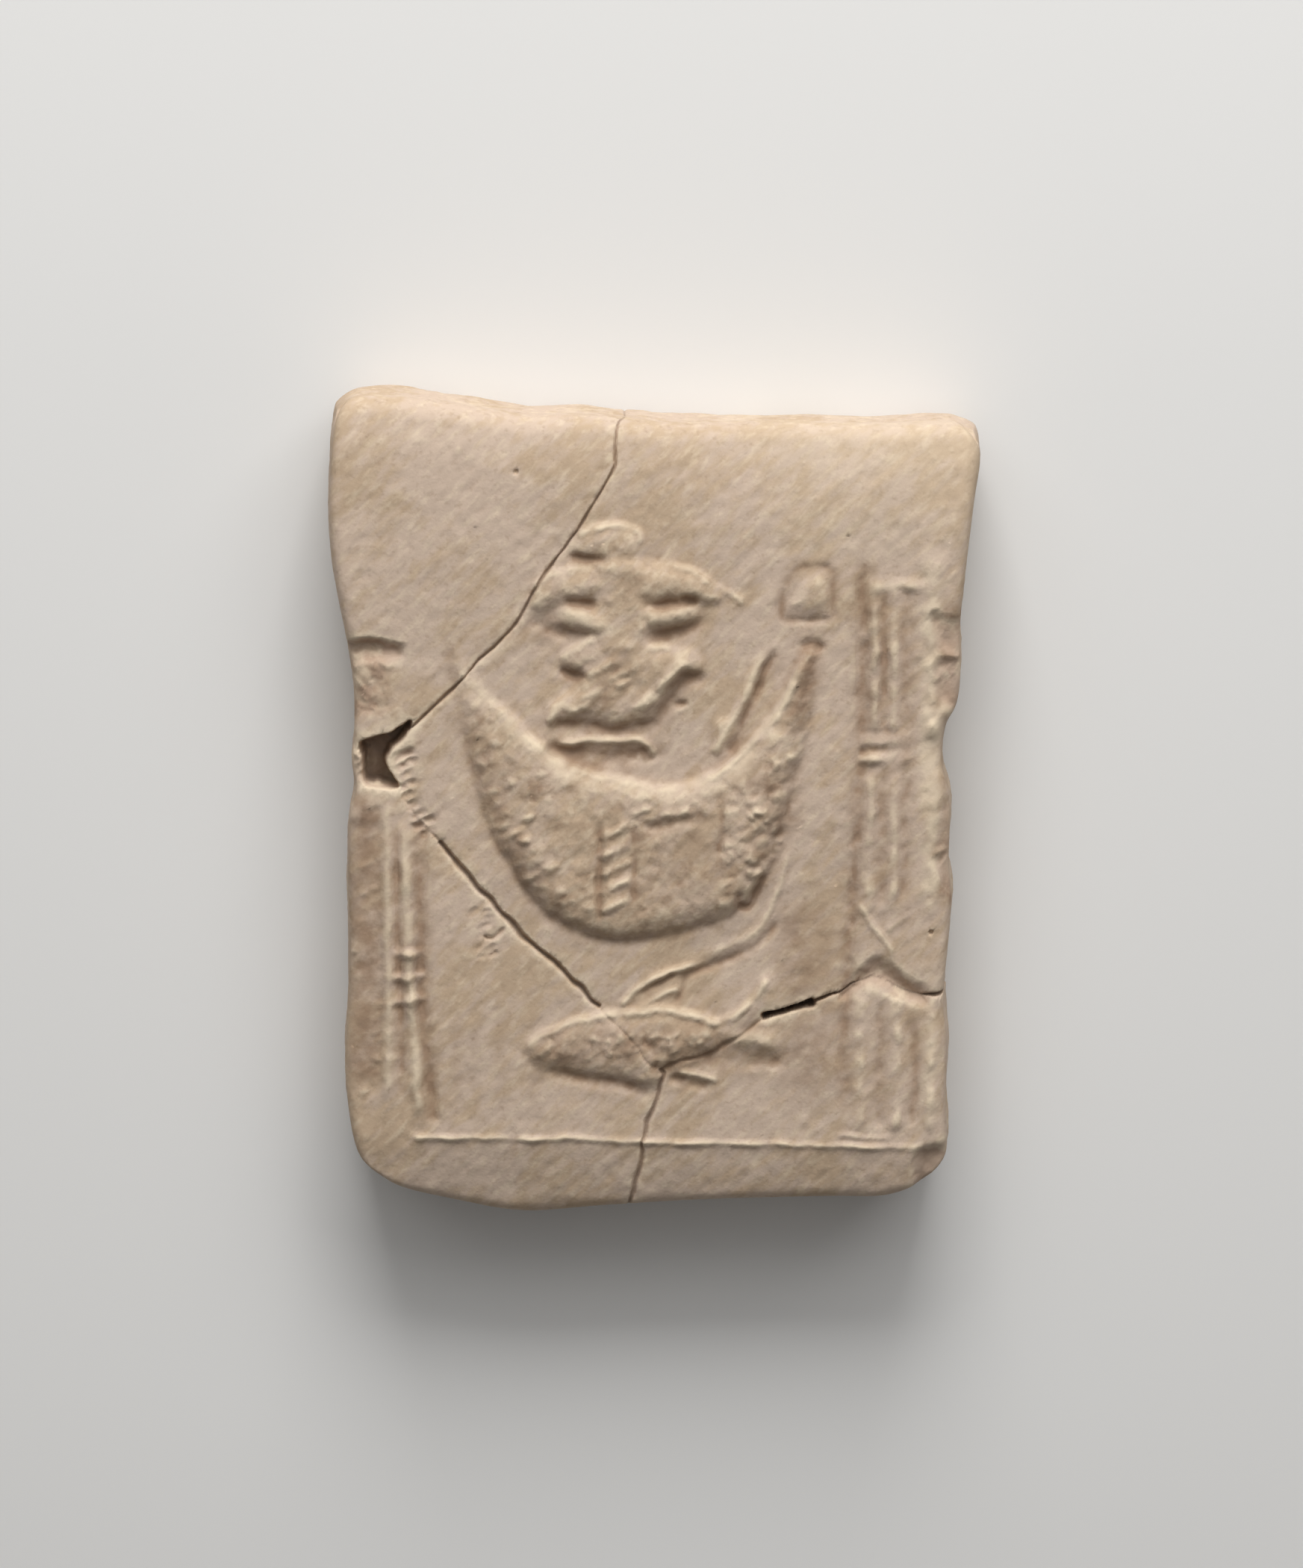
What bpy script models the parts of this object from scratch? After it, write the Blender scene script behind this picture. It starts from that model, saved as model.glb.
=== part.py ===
"""A moulded clay tablet with a worn relief, lying on its flat back.

The relief shows a robed figure with folded arms, seated in a high-prowed reed boat over a fish,
between two columns of bound reeds. The tablet broke long ago and its pieces were joined again,
so it is one solid, with cracks and losses in its face.

The origin is at the middle of the flat back. X is the width, +Y is the head of the picture and
+Z is the way the face looks. Sizes are in metres. The picture is drawn on a sheet in millimetres
from its middle, and the sheet is stretched to the tablet's width and height.
"""
import bmesh
import bpy
import numpy as np

# Driving dimensions of the tablet
WIDTH = 0.0735
HEIGHT = 0.0936
THICKNESS = 0.0165
FRONT_ROUNDING = 0.0026
BACK_ROUNDING = 0.0032
SIDE_BULGE = 0.0005
TOP_ROLL_LENGTH = 0.0120
TOP_ROLL_DEPTH = 0.0024
FOOT_SLOPE_DEPTH = 0.0017

# Driving dimensions of the relief and of the damage
RELIEF_DEPTH = 0.0015
CRACK_WIDTH = 0.0008
CRACK_DEPTH = 0.0010
GAP_DEPTH = 0.0050
SPALL_DEPTH = 0.0012
CHIP_DEPTH = 0.0016

# The drawing sheet, in millimetres, and the height of its base line
SHEET_WIDTH = 73.5
SHEET_HEIGHT = 93.6
BASE_LINE_Y = -37.4

# Fineness of the solid
GRID_STEP = 0.45
SIDE_RINGS = 4
ROUNDING_RINGS = 4
TRIANGLE_BUDGET = 9400
CURVE_STEPS = 6

# The four sides of the outline on the sheet, from corner to corner
TOP_SIDE = [(-35.9, 45.2), (-33.7, 46.8), (-28.3, 46.8), (-22.4, 46.0), (-14.8, 44.8), (-7.3, 44.8),
            (2.0, 43.9), (14.6, 43.9), (25.5, 43.6), (33.1, 43.9), (36.1, 42.7)]
BOTTOM_SIDE = [(-32.5, -41.0), (-28.5, -43.8), (-22.6, -45.4), (-14.9, -46.8), (-6.5, -46.2),
               (5.4, -45.4), (18.9, -45.0), (25.7, -44.9), (29.5, -43.4), (32.3, -41.0)]
LEFT_SIDE = [(-32.5, -41.0), (-34.2, -38.8), (-35.1, -34.0), (-35.4, -28.0), (-34.9, -18.5),
             (-34.9, -2.3), (-34.0, 2.4), (-34.4, 5.4), (-34.1, 9.4), (-34.1, 14.7), (-34.8, 19.0),
             (-36.1, 25.7), (-36.8, 32.5), (-36.6, 37.8), (-36.4, 41.6), (-35.9, 45.2)]
RIGHT_SIDE = [(32.3, -41.0), (33.5, -39.0), (33.3, -34.0), (33.4, -26.0), (33.0, -21.0), (33.8, -10.8),
              (33.5, -5.7), (33.6, 1.1), (32.7, 5.4), (33.0, 9.5), (34.3, 12.2), (34.7, 16.0),
              (34.6, 21.0), (35.1, 26.5), (36.1, 35.0), (36.8, 39.8), (36.1, 42.7)]

# The boat: its rim from horn to horn, and the hull's outer edge back again
BOAT_RIM = [(-22.5, 20.3), (-21.5, 17.0), (-19.6, 14.2), (-17.2, 11.9), (-14.0, 8.6), (-11.2, 6.2),
            (-7.0, 4.5), (-3.5, 3.8), (1.8, 3.0), (5.3, 3.6), (8.8, 5.2), (11.3, 7.5), (14.0, 12.1),
            (15.4, 15.0), (16.8, 18.4)]
BOAT_HULL = [(17.9, 18.6), (17.7, 13.2), (16.8, 8.2), (15.4, 3.9), (14.6, 0.4), (13.6, -3.1),
             (12.1, -7.5), (8.5, -11.6), (5.3, -12.8), (0.0, -14.1), (-4.9, -14.4), (-8.4, -13.5),
             (-12.7, -10.7), (-15.8, -6.4), (-17.9, -2.8), (-19.5, 1.5), (-20.9, 8.6), (-22.3, 15.7)]

# The figure: shoulders, chest, forearms and robe
LEFT_SHOULDER = [(-13.9, 23.4), (-13.7, 24.5), (-13.0, 25.8), (-11.7, 26.8), (-9.9, 27.4), (-8.0, 27.7),
                 (-6.4, 27.7), (-3.9, 27.6), (-3.9, 23.1), (-6.4, 23.6), (-8.1, 23.7), (-9.9, 23.6),
                 (-11.8, 23.1), (-13.0, 22.6)]
RIGHT_SHOULDER = [(-3.2, 27.7), (-0.7, 28.0), (1.5, 28.0), (4.0, 27.4), (5.7, 26.6), (6.9, 25.4),
                  (7.9, 24.1), (6.5, 23.6), (4.6, 23.6), (2.8, 23.6), (0.7, 23.4), (-1.4, 22.9), (-3.2, 23.1)]
CHEST = [(-6.4, 28.4), (-1.1, 28.5), (-0.7, 24.1), (-0.9, 19.9), (-0.9, 15.3), (-6.4, 15.3),
         (-6.8, 19.9), (-6.6, 24.1)]
FOREARMS = [[(-11.5, 22.7), (-9.9, 22.4), (-8.4, 22.0), (-6.8, 21.4), (-5.1, 20.6), (-3.7, 19.8)],
            [(-2.4, 21.6), (-1.0, 21.8), (0.3, 22.0), (1.9, 22.4), (3.6, 22.8), (5.6, 23.1)]]
ROBE = [(-7.0, 23.4), (-1.2, 23.1), (-0.4, 20.3), (0.3, 18.9), (2.4, 18.9), (4.0, 18.6), (5.3, 17.4),
        (4.8, 15.7), (3.2, 15.1), (1.8, 13.6), (0.7, 11.7), (-0.7, 10.2), (-3.9, 9.7), (-6.4, 10.0),
        (-10.0, 10.7), (-11.8, 9.8), (-12.0, 11.1), (-10.5, 12.8), (-9.3, 14.2), (-8.9, 15.3),
        (-9.9, 16.3), (-10.7, 17.0), (-9.9, 18.2), (-8.2, 19.4), (-7.0, 20.6)]

# The fish: its back from the snout, its belly back again, and the upper half of its tail
FISH_BACK = [(-14.7, -26.8), (-13.2, -25.4), (-11.7, -24.7), (-8.8, -23.5), (-5.8, -22.9), (-2.8, -22.4),
             (0.3, -22.3), (2.5, -22.6), (4.9, -23.0), (7.2, -23.7)]
FISH_BELLY = [(8.0, -25.3), (6.6, -27.3), (4.1, -28.7), (2.0, -30.0), (0.1, -31.4), (-3.8, -30.5),
              (-8.8, -29.7), (-12.6, -29.2), (-14.0, -28.1)]
UPPER_TAIL = [(4.9, -23.2), (6.8, -23.9), (8.7, -23.1), (10.3, -21.9), (11.8, -20.2), (12.9, -18.0),
              (13.9, -19.4), (13.5, -21.6), (11.6, -23.4), (9.5, -25.0), (6.4, -26.2)]

# The breaks, from the tablet's edge inwards
BREAK_TOP = [(-3.4, 45.2), (-4.4, 41.2), (-4.4, 39.1), (-7.2, 34.0), (-10.5, 29.1), (-13.8, 24.3),
             (-18.4, 18.2), (-23.8, 12.7), (-28.7, 8.7)]
BREAK_LEFT = [(-28.7, 2.9), (-26.4, -1.1), (-23.3, -4.2), (-18.5, -9.8), (-13.0, -15.6),
              (-6.3, -22.1), (0.3, -29.3)]
BREAK_RIGHT = [(33.4, -20.0), (30.2, -20.8), (27.7, -20.2), (24.7, -18.7), (19.8, -20.8),
               (12.8, -23.1), (6.4, -27.4), (0.7, -29.3)]
BREAK_FOOT = [(1.0, -29.9), (0.4, -32.3), (-1.5, -37.9), (-1.8, -41.1), (-2.7, -45.3)]
GAP = [(-32.9, 7.9), (-30.5, 8.4), (-27.5, 9.9), (-30.0, 5.8), (-28.8, 2.6), (-32.4, 3.3)]


def smooth(share):
    """An even rise from 0 to 1 as the share does."""
    share = np.clip(share, 0.0, 1.0)
    return share * share * (3.0 - 2.0 * share)


def curve_through(points, closed=False):
    """Points along a smooth curve through the drawn ones."""
    drawn = np.array(points, dtype=float)
    if closed:
        drawn = np.vstack([drawn[-1:], drawn, drawn[:2]])
    else:
        drawn = np.vstack([2 * drawn[0] - drawn[1], drawn, 2 * drawn[-1] - drawn[-2]])
    t = (np.arange(CURVE_STEPS) / CURVE_STEPS)[:, None]
    runs = []
    for a, b, c, d in zip(drawn[:-3], drawn[1:-2], drawn[2:-1], drawn[3:]):
        bend = (2 * a - 5 * b + 4 * c - d) * t ** 2 + (3 * b - a - 3 * c + d) * t ** 3
        runs.append(0.5 * (2 * b + (c - a) * t + bend))
    return np.vstack(runs + [drawn[-2:-1]])


class Face:
    """The height of the face over its sheet, as the mould pressed it and as time broke it."""

    def __init__(self, x, y):
        self.x = x
        self.y = y
        self.form = np.zeros(len(x))
        self.line = np.zeros(len(x))
        self.furrow = np.zeros(len(x))
        self.loss = np.zeros(len(x))

    def near(self, path, reach):
        """The places within reach of a path, their distance from it and how far along they are."""
        low = path.min(axis=0) - reach
        high = path.max(axis=0) + reach
        in_x = (self.x > low[0]) & (self.x < high[0])
        spots = np.nonzero(in_x & (self.y > low[1]) & (self.y < high[1]))[0]
        place = np.stack([self.x[spots], self.y[spots]], axis=1)
        distance = np.full(len(spots), np.inf)
        along = np.zeros(len(spots))
        for index, (start, end) in enumerate(zip(path[:-1], path[1:])):
            run = end - start
            share = np.clip((place - start) @ run / max(run @ run, 1e-9), 0.0, 1.0)
            away = np.linalg.norm(place - start - share[:, None] * run, axis=1)
            closer = away < distance
            distance[closer] = away[closer]
            along[closer] = (index + share[closer]) / (len(path) - 1)
        return spots, distance, along

    def inside(self, loop, spots):
        """Whether each place lies inside a closed loop."""
        x = self.x[spots]
        y = self.y[spots]
        within = np.zeros(len(spots), dtype=bool)
        for (x0, y0), (x1, y1) in zip(loop[:-1], loop[1:]):
            if y0 != y1:
                crossing = x0 + (y - y0) * (x1 - x0) / (y1 - y0)
                within ^= ((y0 > y) != (y1 > y)) & (x < crossing)
        return within

    def depth_in(self, outline, reach):
        """How deep each place lies inside an outline, less than nothing outside it."""
        loop = curve_through(outline, closed=True)
        spots, distance, _ = self.near(loop, reach)
        return spots, np.where(self.inside(loop, spots), distance, -distance)

    def strip(self, layer, points, width, size, fade, power=2):
        """Lay a rounded strip of a width along a curve, fading towards its ends."""
        spots, distance, along = self.near(curve_through(points), width / 2)
        across = np.clip(1.0 - (2 * distance / width) ** 2, 0.0, 1.0) ** power
        ends = smooth(np.minimum(along, 1 - along) / fade)
        layer[spots] = np.maximum(layer[spots], size * across * ends)

    def patch(self, outline, depth, edge):
        """A loss over an outline, sloping across its edge."""
        spots, inwards = self.depth_in(outline, edge)
        self.loss[spots] = np.maximum(self.loss[spots], depth * smooth(0.5 + inwards / edge))

    def ridge(self, points, width, height, fade=0.12):
        self.strip(self.line, points, width, height, fade)

    def groove(self, points, width, depth, fade=0.12):
        self.strip(self.furrow, points, width, depth, fade)

    def pad(self, outline, height, edge):
        """A raised form whose side rounds over from the outline inwards."""
        foot = 0.25
        spots, depth = self.depth_in(outline, foot)
        round_over = np.sin(0.5 * np.pi * np.clip((depth + foot) / edge, 0.0, 1.0))
        self.form[spots] = np.maximum(self.form[spots], height * round_over)

    def swell(self, outline, height, width):
        """More height towards the middle of an outline."""
        spots, depth = self.depth_in(outline, 0.0)
        rise = np.clip(depth / width, 0.0, 1.0)
        self.form[spots] += height * np.sqrt(1.0 - (1.0 - rise) ** 2)

    def limb(self, points, width, height):
        """A full rounded strip that counts as a form."""
        self.strip(self.form, points, width, height, fade=0.35, power=1)

    def dome(self, centre, radius, height):
        """A round swelling, with a radius across and one up."""
        away = ((self.x - centre[0]) / radius[0]) ** 2 + ((self.y - centre[1]) / radius[1]) ** 2
        fullness = 0.6
        self.form = np.maximum(self.form, height * np.clip(1.0 - away, 0.0, 1.0) ** fullness)

    def height(self):
        relief = self.form + self.line - self.furrow
        return RELIEF_DEPTH * relief - self.loss


def press_boat(face):
    """The hull with its thick rim, the lashing amidships and the lumps that wear has left."""
    crescent = BOAT_RIM + BOAT_HULL
    face.pad(crescent, 0.62, edge=2.4)
    face.swell(crescent, 0.38, width=5.5)
    for drop, width, height in ((0.9, 3.2, 0.22), (0.25, 2.0, 0.30)):
        face.ridge([(x, y - drop) for x, y in BOAT_RIM], width, height, fade=0.05)
    face.groove([(-6.2, -0.7), (-6.2, -7.0), (-6.3, -13.0)], 1.2, 0.30)
    face.groove([(-2.2, -1.1), (-2.3, -5.3), (-2.5, -10.4)], 1.1, 0.22)
    band_count = 5
    band_step = 2.05
    for band in range(band_count):
        y = -2.2 - band * band_step
        face.ridge([(-5.8, y - 0.5), (-4.5, y), (-3.2, y + 0.8)], 1.2, 0.38)
    face.groove([(7.4, 1.2), (7.5, -2.0), (7.1, -4.5), (6.8, -6.6)], 1.0, 0.20)
    face.groove([(12.1, -6.2), (11.6, -8.3), (10.6, -10.7), (9.3, -10.1), (9.5, -8.6)], 1.2, 0.32)
    knots = [(-1.4, 0.0), (1.3, -0.1), (3.4, 0.3), (5.6, 0.5)]
    worn_lumps = [(-14.2, -0.4), (-14.6, -3.1), (-17.6, 2.3)]
    for x, y in knots + worn_lumps:
        face.ridge([(x - 0.9, y - 0.4), (x, y), (x + 0.9, y + 0.4)], 1.4, 0.32, fade=0.4)


def press_mast(face):
    """The leaning pole with its square emblem, between the boat's right horn and the figure."""
    face.ridge([(6.5, 5.6), (7.9, 8.6), (10.3, 13.6), (11.9, 17.0), (13.2, 19.8)], 1.3, 0.28)
    face.groove([(7.1, 5.8), (8.4, 7.8), (9.4, 10.7), (10.8, 13.5), (12.2, 16.3), (13.8, 18.9)], 1.2, 0.36)
    face.groove([(16.9, 17.1), (17.2, 18.4), (18.4, 18.4), (18.9, 17.4)], 1.5, 0.40, fade=0.25)
    face.groove([(18.0, 18.1), (17.9, 16.1), (17.4, 14.0), (16.7, 11.9)], 1.6, 0.34)
    face.groove([(6.9, 10.5), (6.9, 8.6), (7.4, 6.3)], 0.8, 0.25)
    frame = [(14.3, 25.3), (16.0, 27.4), (19.9, 27.6), (20.0, 21.8), (14.2, 21.6)]
    for start, end in zip(frame, frame[1:] + frame[:1]):
        face.groove([start, end], 1.1, 0.34, fade=0.02)
    face.pad([(14.7, 24.8), (16.4, 26.8), (19.3, 26.8), (19.4, 22.4), (14.8, 22.4)], 0.45, edge=1.1)
    face.groove([(11.4, 23.4), (12.6, 23.9), (13.7, 24.8)], 0.7, 0.28)


def press_head_and_arms(face):
    """A worn round head, shoulders, chest and folded arms, parted by the cuts around the arms."""
    face.dome((-4.9, 30.0), (4.2, 2.6), 0.50)
    face.ridge([(-8.9, 31.1), (-7.1, 32.0), (-4.3, 32.4), (-1.8, 31.7), (-1.1, 29.9)], 1.3, 0.20)
    face.groove([(-10.3, 28.2), (-9.3, 28.5), (-8.0, 28.6), (-6.4, 28.5), (-4.9, 28.2)], 1.2, 0.60, fade=0.35)
    for shoulder in (LEFT_SHOULDER, RIGHT_SHOULDER):
        face.pad(shoulder, 0.70, edge=2.2)
    face.ridge([(-13.7, 24.5), (-12.4, 26.3), (-9.9, 27.3), (-6.3, 27.4)], 1.4, 0.20)
    face.ridge([(0.8, 28.0), (4.0, 27.4), (6.6, 25.7), (8.9, 24.4), (10.2, 23.4)], 1.4, 0.20)
    face.pad(CHEST, 0.66, edge=1.8)
    for forearm in FOREARMS:
        face.limb(forearm, 3.2, 0.95)
    face.groove([(-10.3, 23.7), (-9.0, 23.4), (-7.6, 23.3), (-6.1, 22.9)], 1.6, 0.50, fade=0.3)
    face.groove([(-0.9, 22.9), (0.7, 23.2), (2.3, 23.4), (4.0, 23.8), (5.1, 24.3)], 1.6, 0.48, fade=0.3)
    face.groove([(-14.2, 22.3), (-13.4, 21.4), (-11.8, 20.5), (-7.7, 20.0)], 1.9, 0.46, fade=0.3)
    face.groove([(-1.2, 19.2), (0.3, 19.7), (3.8, 20.7), (5.4, 21.6), (7.6, 22.1)], 2.0, 0.50, fade=0.3)


def press_robe_and_seat(face):
    """The robe over the knees, the foot put forward, and the low seat board."""
    face.pad(ROBE, 0.72, edge=2.2)
    face.ridge([(-10.7, 17.2), (-9.3, 18.3), (-7.6, 19.3), (-6.4, 19.9)], 1.6, 0.24)
    face.ridge([(-12.3, 10.2), (-11.4, 11.5), (-10.4, 12.7), (-9.6, 13.6)], 1.5, 0.24)
    face.groove([(-11.2, 15.9), (-9.9, 15.7), (-8.7, 15.5), (-7.4, 16.0)], 1.8, 0.50, fade=0.3)
    face.ridge([(-2.1, 11.7), (-0.1, 13.2), (1.1, 14.7), (2.4, 16.1), (3.8, 17.4)], 2.0, 0.30)
    hem_shade = [(-12.4, 9.4), (-10.0, 9.9), (-6.4, 9.3), (-3.9, 9.1), (-1.6, 9.3), (0.2, 10.2),
                 (1.4, 11.8), (2.5, 13.6), (3.6, 14.8), (4.9, 15.0), (5.9, 14.4)]
    face.groove(hem_shade, 1.8, 0.26, fade=0.08)
    face.ridge([(2.2, 13.5), (3.6, 13.8), (5.1, 14.1)], 1.1, 0.20, fade=0.3)
    face.ridge([(-11.7, 7.8), (-7.1, 8.1), (-1.7, 8.2), (-0.6, 7.3), (0.4, 5.8)], 1.8, 0.38)
    face.groove([(-12.2, 7.6), (-9.3, 6.5), (-4.7, 6.1), (-0.7, 6.4), (0.2, 5.6)], 2.0, 0.34, fade=0.15)


def press_fish(face):
    """A stout fish with its fins and tail, on a line from the boat's right side."""
    face.pad(FISH_BACK + FISH_BELLY, 0.85, edge=2.4)
    face.ridge(FISH_BACK, 1.3, 0.20)
    face.pad(UPPER_TAIL, 0.30, edge=2.0)
    face.ridge([(5.1, -23.1), (6.8, -23.9), (8.7, -23.2), (11.8, -20.4), (12.8, -18.5)], 1.1, 0.26)
    face.ridge([(7.0, -26.2), (9.5, -26.1), (12.0, -26.4), (15.0, -26.9)], 2.4, 0.30, fade=0.2)
    face.groove([(4.5, -27.8), (7.4, -28.2), (11.2, -28.4), (15.5, -28.5)], 2.0, 0.32, fade=0.2)
    face.ridge([(2.4, -29.7), (4.9, -29.9), (7.3, -30.5)], 1.1, 0.28)
    face.groove([(-14.5, -27.6), (-13.5, -29.0), (-7.3, -30.7), (0.1, -32.1)], 1.5, 0.30)
    face.groove([(-10.0, -25.2), (-9.3, -25.6), (-8.8, -26.3)], 1.0, 0.35, fade=0.3)
    face.groove([(-6.4, -24.2), (-5.9, -26.2), (-6.8, -28.7)], 0.8, 0.20)
    face.ridge([(-2.1, -22.3), (-0.4, -21.6), (1.3, -20.7), (2.8, -20.0)], 1.0, 0.22)
    face.ridge([(15.5, -2.8), (13.5, -10.0), (11.6, -13.4), (8.0, -15.4), (4.5, -16.8)], 1.1, 0.20)
    face.ridge([(5.5, -16.9), (1.4, -18.4), (-0.9, -19.5), (-2.7, -20.9), (-3.9, -22.5)], 1.2, 0.34)


def press_columns(face):
    """A column of bound reeds at each side, straight stems crossed by ties."""
    inner_edge = [(22.7, 29.1), (22.9, 19.1), (22.5, 2.3), (21.8, -12.1), (21.2, -21.8), (21.1, -36.0)]
    face.groove(inner_edge, 1.4, 0.42, fade=0.04)
    for x, width, height in ((24.5, 1.4, 0.32), (26.6, 1.4, 0.32), (30.6, 3.4, 0.34)):
        face.ridge([(x, 24.1), (x, 9.7)], width, height, fade=0.05)
    for x, width, height in ((24.2, 1.5, 0.28), (26.9, 1.5, 0.28), (31.0, 2.8, 0.26)):
        face.ridge([(x, 3.8), (x, -10.6)], width, height, fade=0.08)
    for x in (23.2, 27.2, 31.2):
        face.ridge([(x, -21.9), (x, -35.6)], 2.0, 0.30, fade=0.06)
    face.ridge([(23.5, 25.3), (26.4, 25.4), (30.0, 25.8)], 2.4, 0.28, fade=0.25)
    for y, height in ((8.1, 0.22), (5.8, 0.38)):
        face.ridge([(23.2, y), (28.1, y + 0.2)], 1.5, height)
    face.ridge([(22.9, -10.3), (24.7, -13.0), (26.9, -16.5)], 1.0, 0.22)
    face.ridge([(28.7, -11.5), (27.0, -12.6), (25.8, -13.5)], 1.0, 0.16)
    face.groove([(-26.2, -0.3), (-26.3, -9.6), (-26.0, -20.7), (-25.2, -30.9), (-24.9, -35.6)], 1.3, 0.40)
    face.ridge([(-27.9, -0.7), (-27.8, -9.6), (-27.4, -20.7), (-26.9, -28.3), (-26.6, -35.2)], 1.7, 0.34)
    face.ridge([(-30.1, 1.4), (-30.0, -9.6), (-30.0, -20.7), (-30.0, -34.3)], 1.5, 0.30)
    tie_count = 3
    tie_step = 2.6
    for tie in range(tie_count):
        y = -16.2 - tie * tie_step
        face.ridge([(-28.9, y), (-26.1, y + 0.3)], 1.3, 0.28)


def press_base_line(face):
    line = [(-27.3, -37.1), (-6.9, -37.3), (-0.9, -37.7), (10.4, -37.9), (30.7, -38.3)]
    face.ridge(line, 1.1, 0.28, fade=0.03)


def break_edges(face):
    """The gap at the left, the spalled patches and the chipped right edge, from deep to shallow."""
    face.patch(GAP, GAP_DEPTH, 0.9)
    face.patch([(-36.0, 8.2), (-32.4, 8.2), (-32.0, 3.4), (-36.0, 3.2)], 0.4 * GAP_DEPTH, 1.2)
    spall = [(-36.5, 19.3), (-31.5, 19.9), (-28.6, 19.0), (-28.2, 14.0), (-27.8, 10.0), (-36.5, 8.2)]
    face.patch(spall, SPALL_DEPTH, 1.0)
    hollow = [(22.0, -19.9), (23.6, -18.6), (25.2, -16.9), (27.0, -18.4), (28.6, -20.2), (25.2, -19.2)]
    face.patch(hollow, SPALL_DEPTH, 0.9)
    upper_chip = [(32.6, 22.4), (36.5, 22.6), (36.5, 13.0), (33.4, 13.2), (32.0, 18.0)]
    lower_chip = [(33.0, 0.6), (36.0, 0.8), (36.0, -8.4), (32.8, -8.0), (32.0, -4.0)]
    for chip in (upper_chip, lower_chip):
        face.patch(chip, CHIP_DEPTH, 1.4)
    slope = [(-38.0, -0.5), (-30.8, -0.5), (-29.4, -16.0), (-29.0, -36.5), (-38.0, -36.5)]
    face.patch(slope, 0.3 * SPALL_DEPTH, 2.4)


def break_across(face):
    width = CRACK_WIDTH / WIDTH * SHEET_WIDTH
    for crack in (BREAK_TOP, BREAK_LEFT, BREAK_RIGHT, BREAK_FOOT):
        spots, distance, _ = face.near(curve_through(crack), width)
        depth = CRACK_DEPTH * np.clip(1.0 - distance / width, 0.0, 1.0)
        face.loss[spots] = np.maximum(face.loss[spots], depth)


def carve(x, y):
    """The relief's height in metres over the sheet, with the damage taken off."""
    face = Face(x, y)
    for press in (press_boat, press_mast, press_head_and_arms, press_robe_and_seat, press_fish, press_columns,
                  press_base_line):
        press(face)
    break_edges(face)
    break_across(face)
    return face.height()


def lean(y):
    """How far the plain face falls back, at the rolled top and below the base line."""
    top = HEIGHT / 2 - y
    roll = TOP_ROLL_DEPTH * np.clip(1.0 - top / TOP_ROLL_LENGTH, 0.0, 1.0) ** 2
    base_line = BASE_LINE_Y / SHEET_HEIGHT * HEIGHT
    foot = np.clip((base_line - y) / (HEIGHT / 2 + base_line), 0.0, 1.0)
    return roll + FOOT_SLOPE_DEPTH * foot


def side_at(points, shares):
    """Places at even shares of the length of one side of the outline."""
    path = curve_through(points)
    steps = np.linalg.norm(np.diff(path, axis=0), axis=1)
    reached = np.concatenate([[0.0], np.cumsum(steps)]) / steps.sum()
    return np.stack([np.interp(shares, reached, path[:, axis]) for axis in (0, 1)], axis=1)


def spread(u, v):
    """The sheet's places for a square of shares, stretched between the four sides."""
    top = side_at(TOP_SIDE, u)
    bottom = side_at(BOTTOM_SIDE, u)
    left = side_at(LEFT_SIDE, v)
    right = side_at(RIGHT_SIDE, v)
    u = u[:, None]
    v = v[:, None]
    corners = [np.array(corner) for corner in (BOTTOM_SIDE[0], BOTTOM_SIDE[-1], TOP_SIDE[0], TOP_SIDE[-1])]
    flat = (1 - v) * ((1 - u) * corners[0] + u * corners[1]) + v * ((1 - u) * corners[2] + u * corners[3])
    return (1 - v) * bottom + v * top + (1 - u) * left + u * right - flat


def sheet_to_tablet(places):
    """Stretch places on the sheet so that the outline fills the width and the height."""
    samples = 400
    shares = np.linspace(0.0, 1.0, samples)
    rim = np.vstack([side_at(side, shares) for side in (TOP_SIDE, BOTTOM_SIDE, LEFT_SIDE, RIGHT_SIDE)])
    low = rim.min(axis=0)
    high = rim.max(axis=0)
    return ((places - low) / (high - low) - 0.5) * np.array([WIDTH, HEIGHT])


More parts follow.
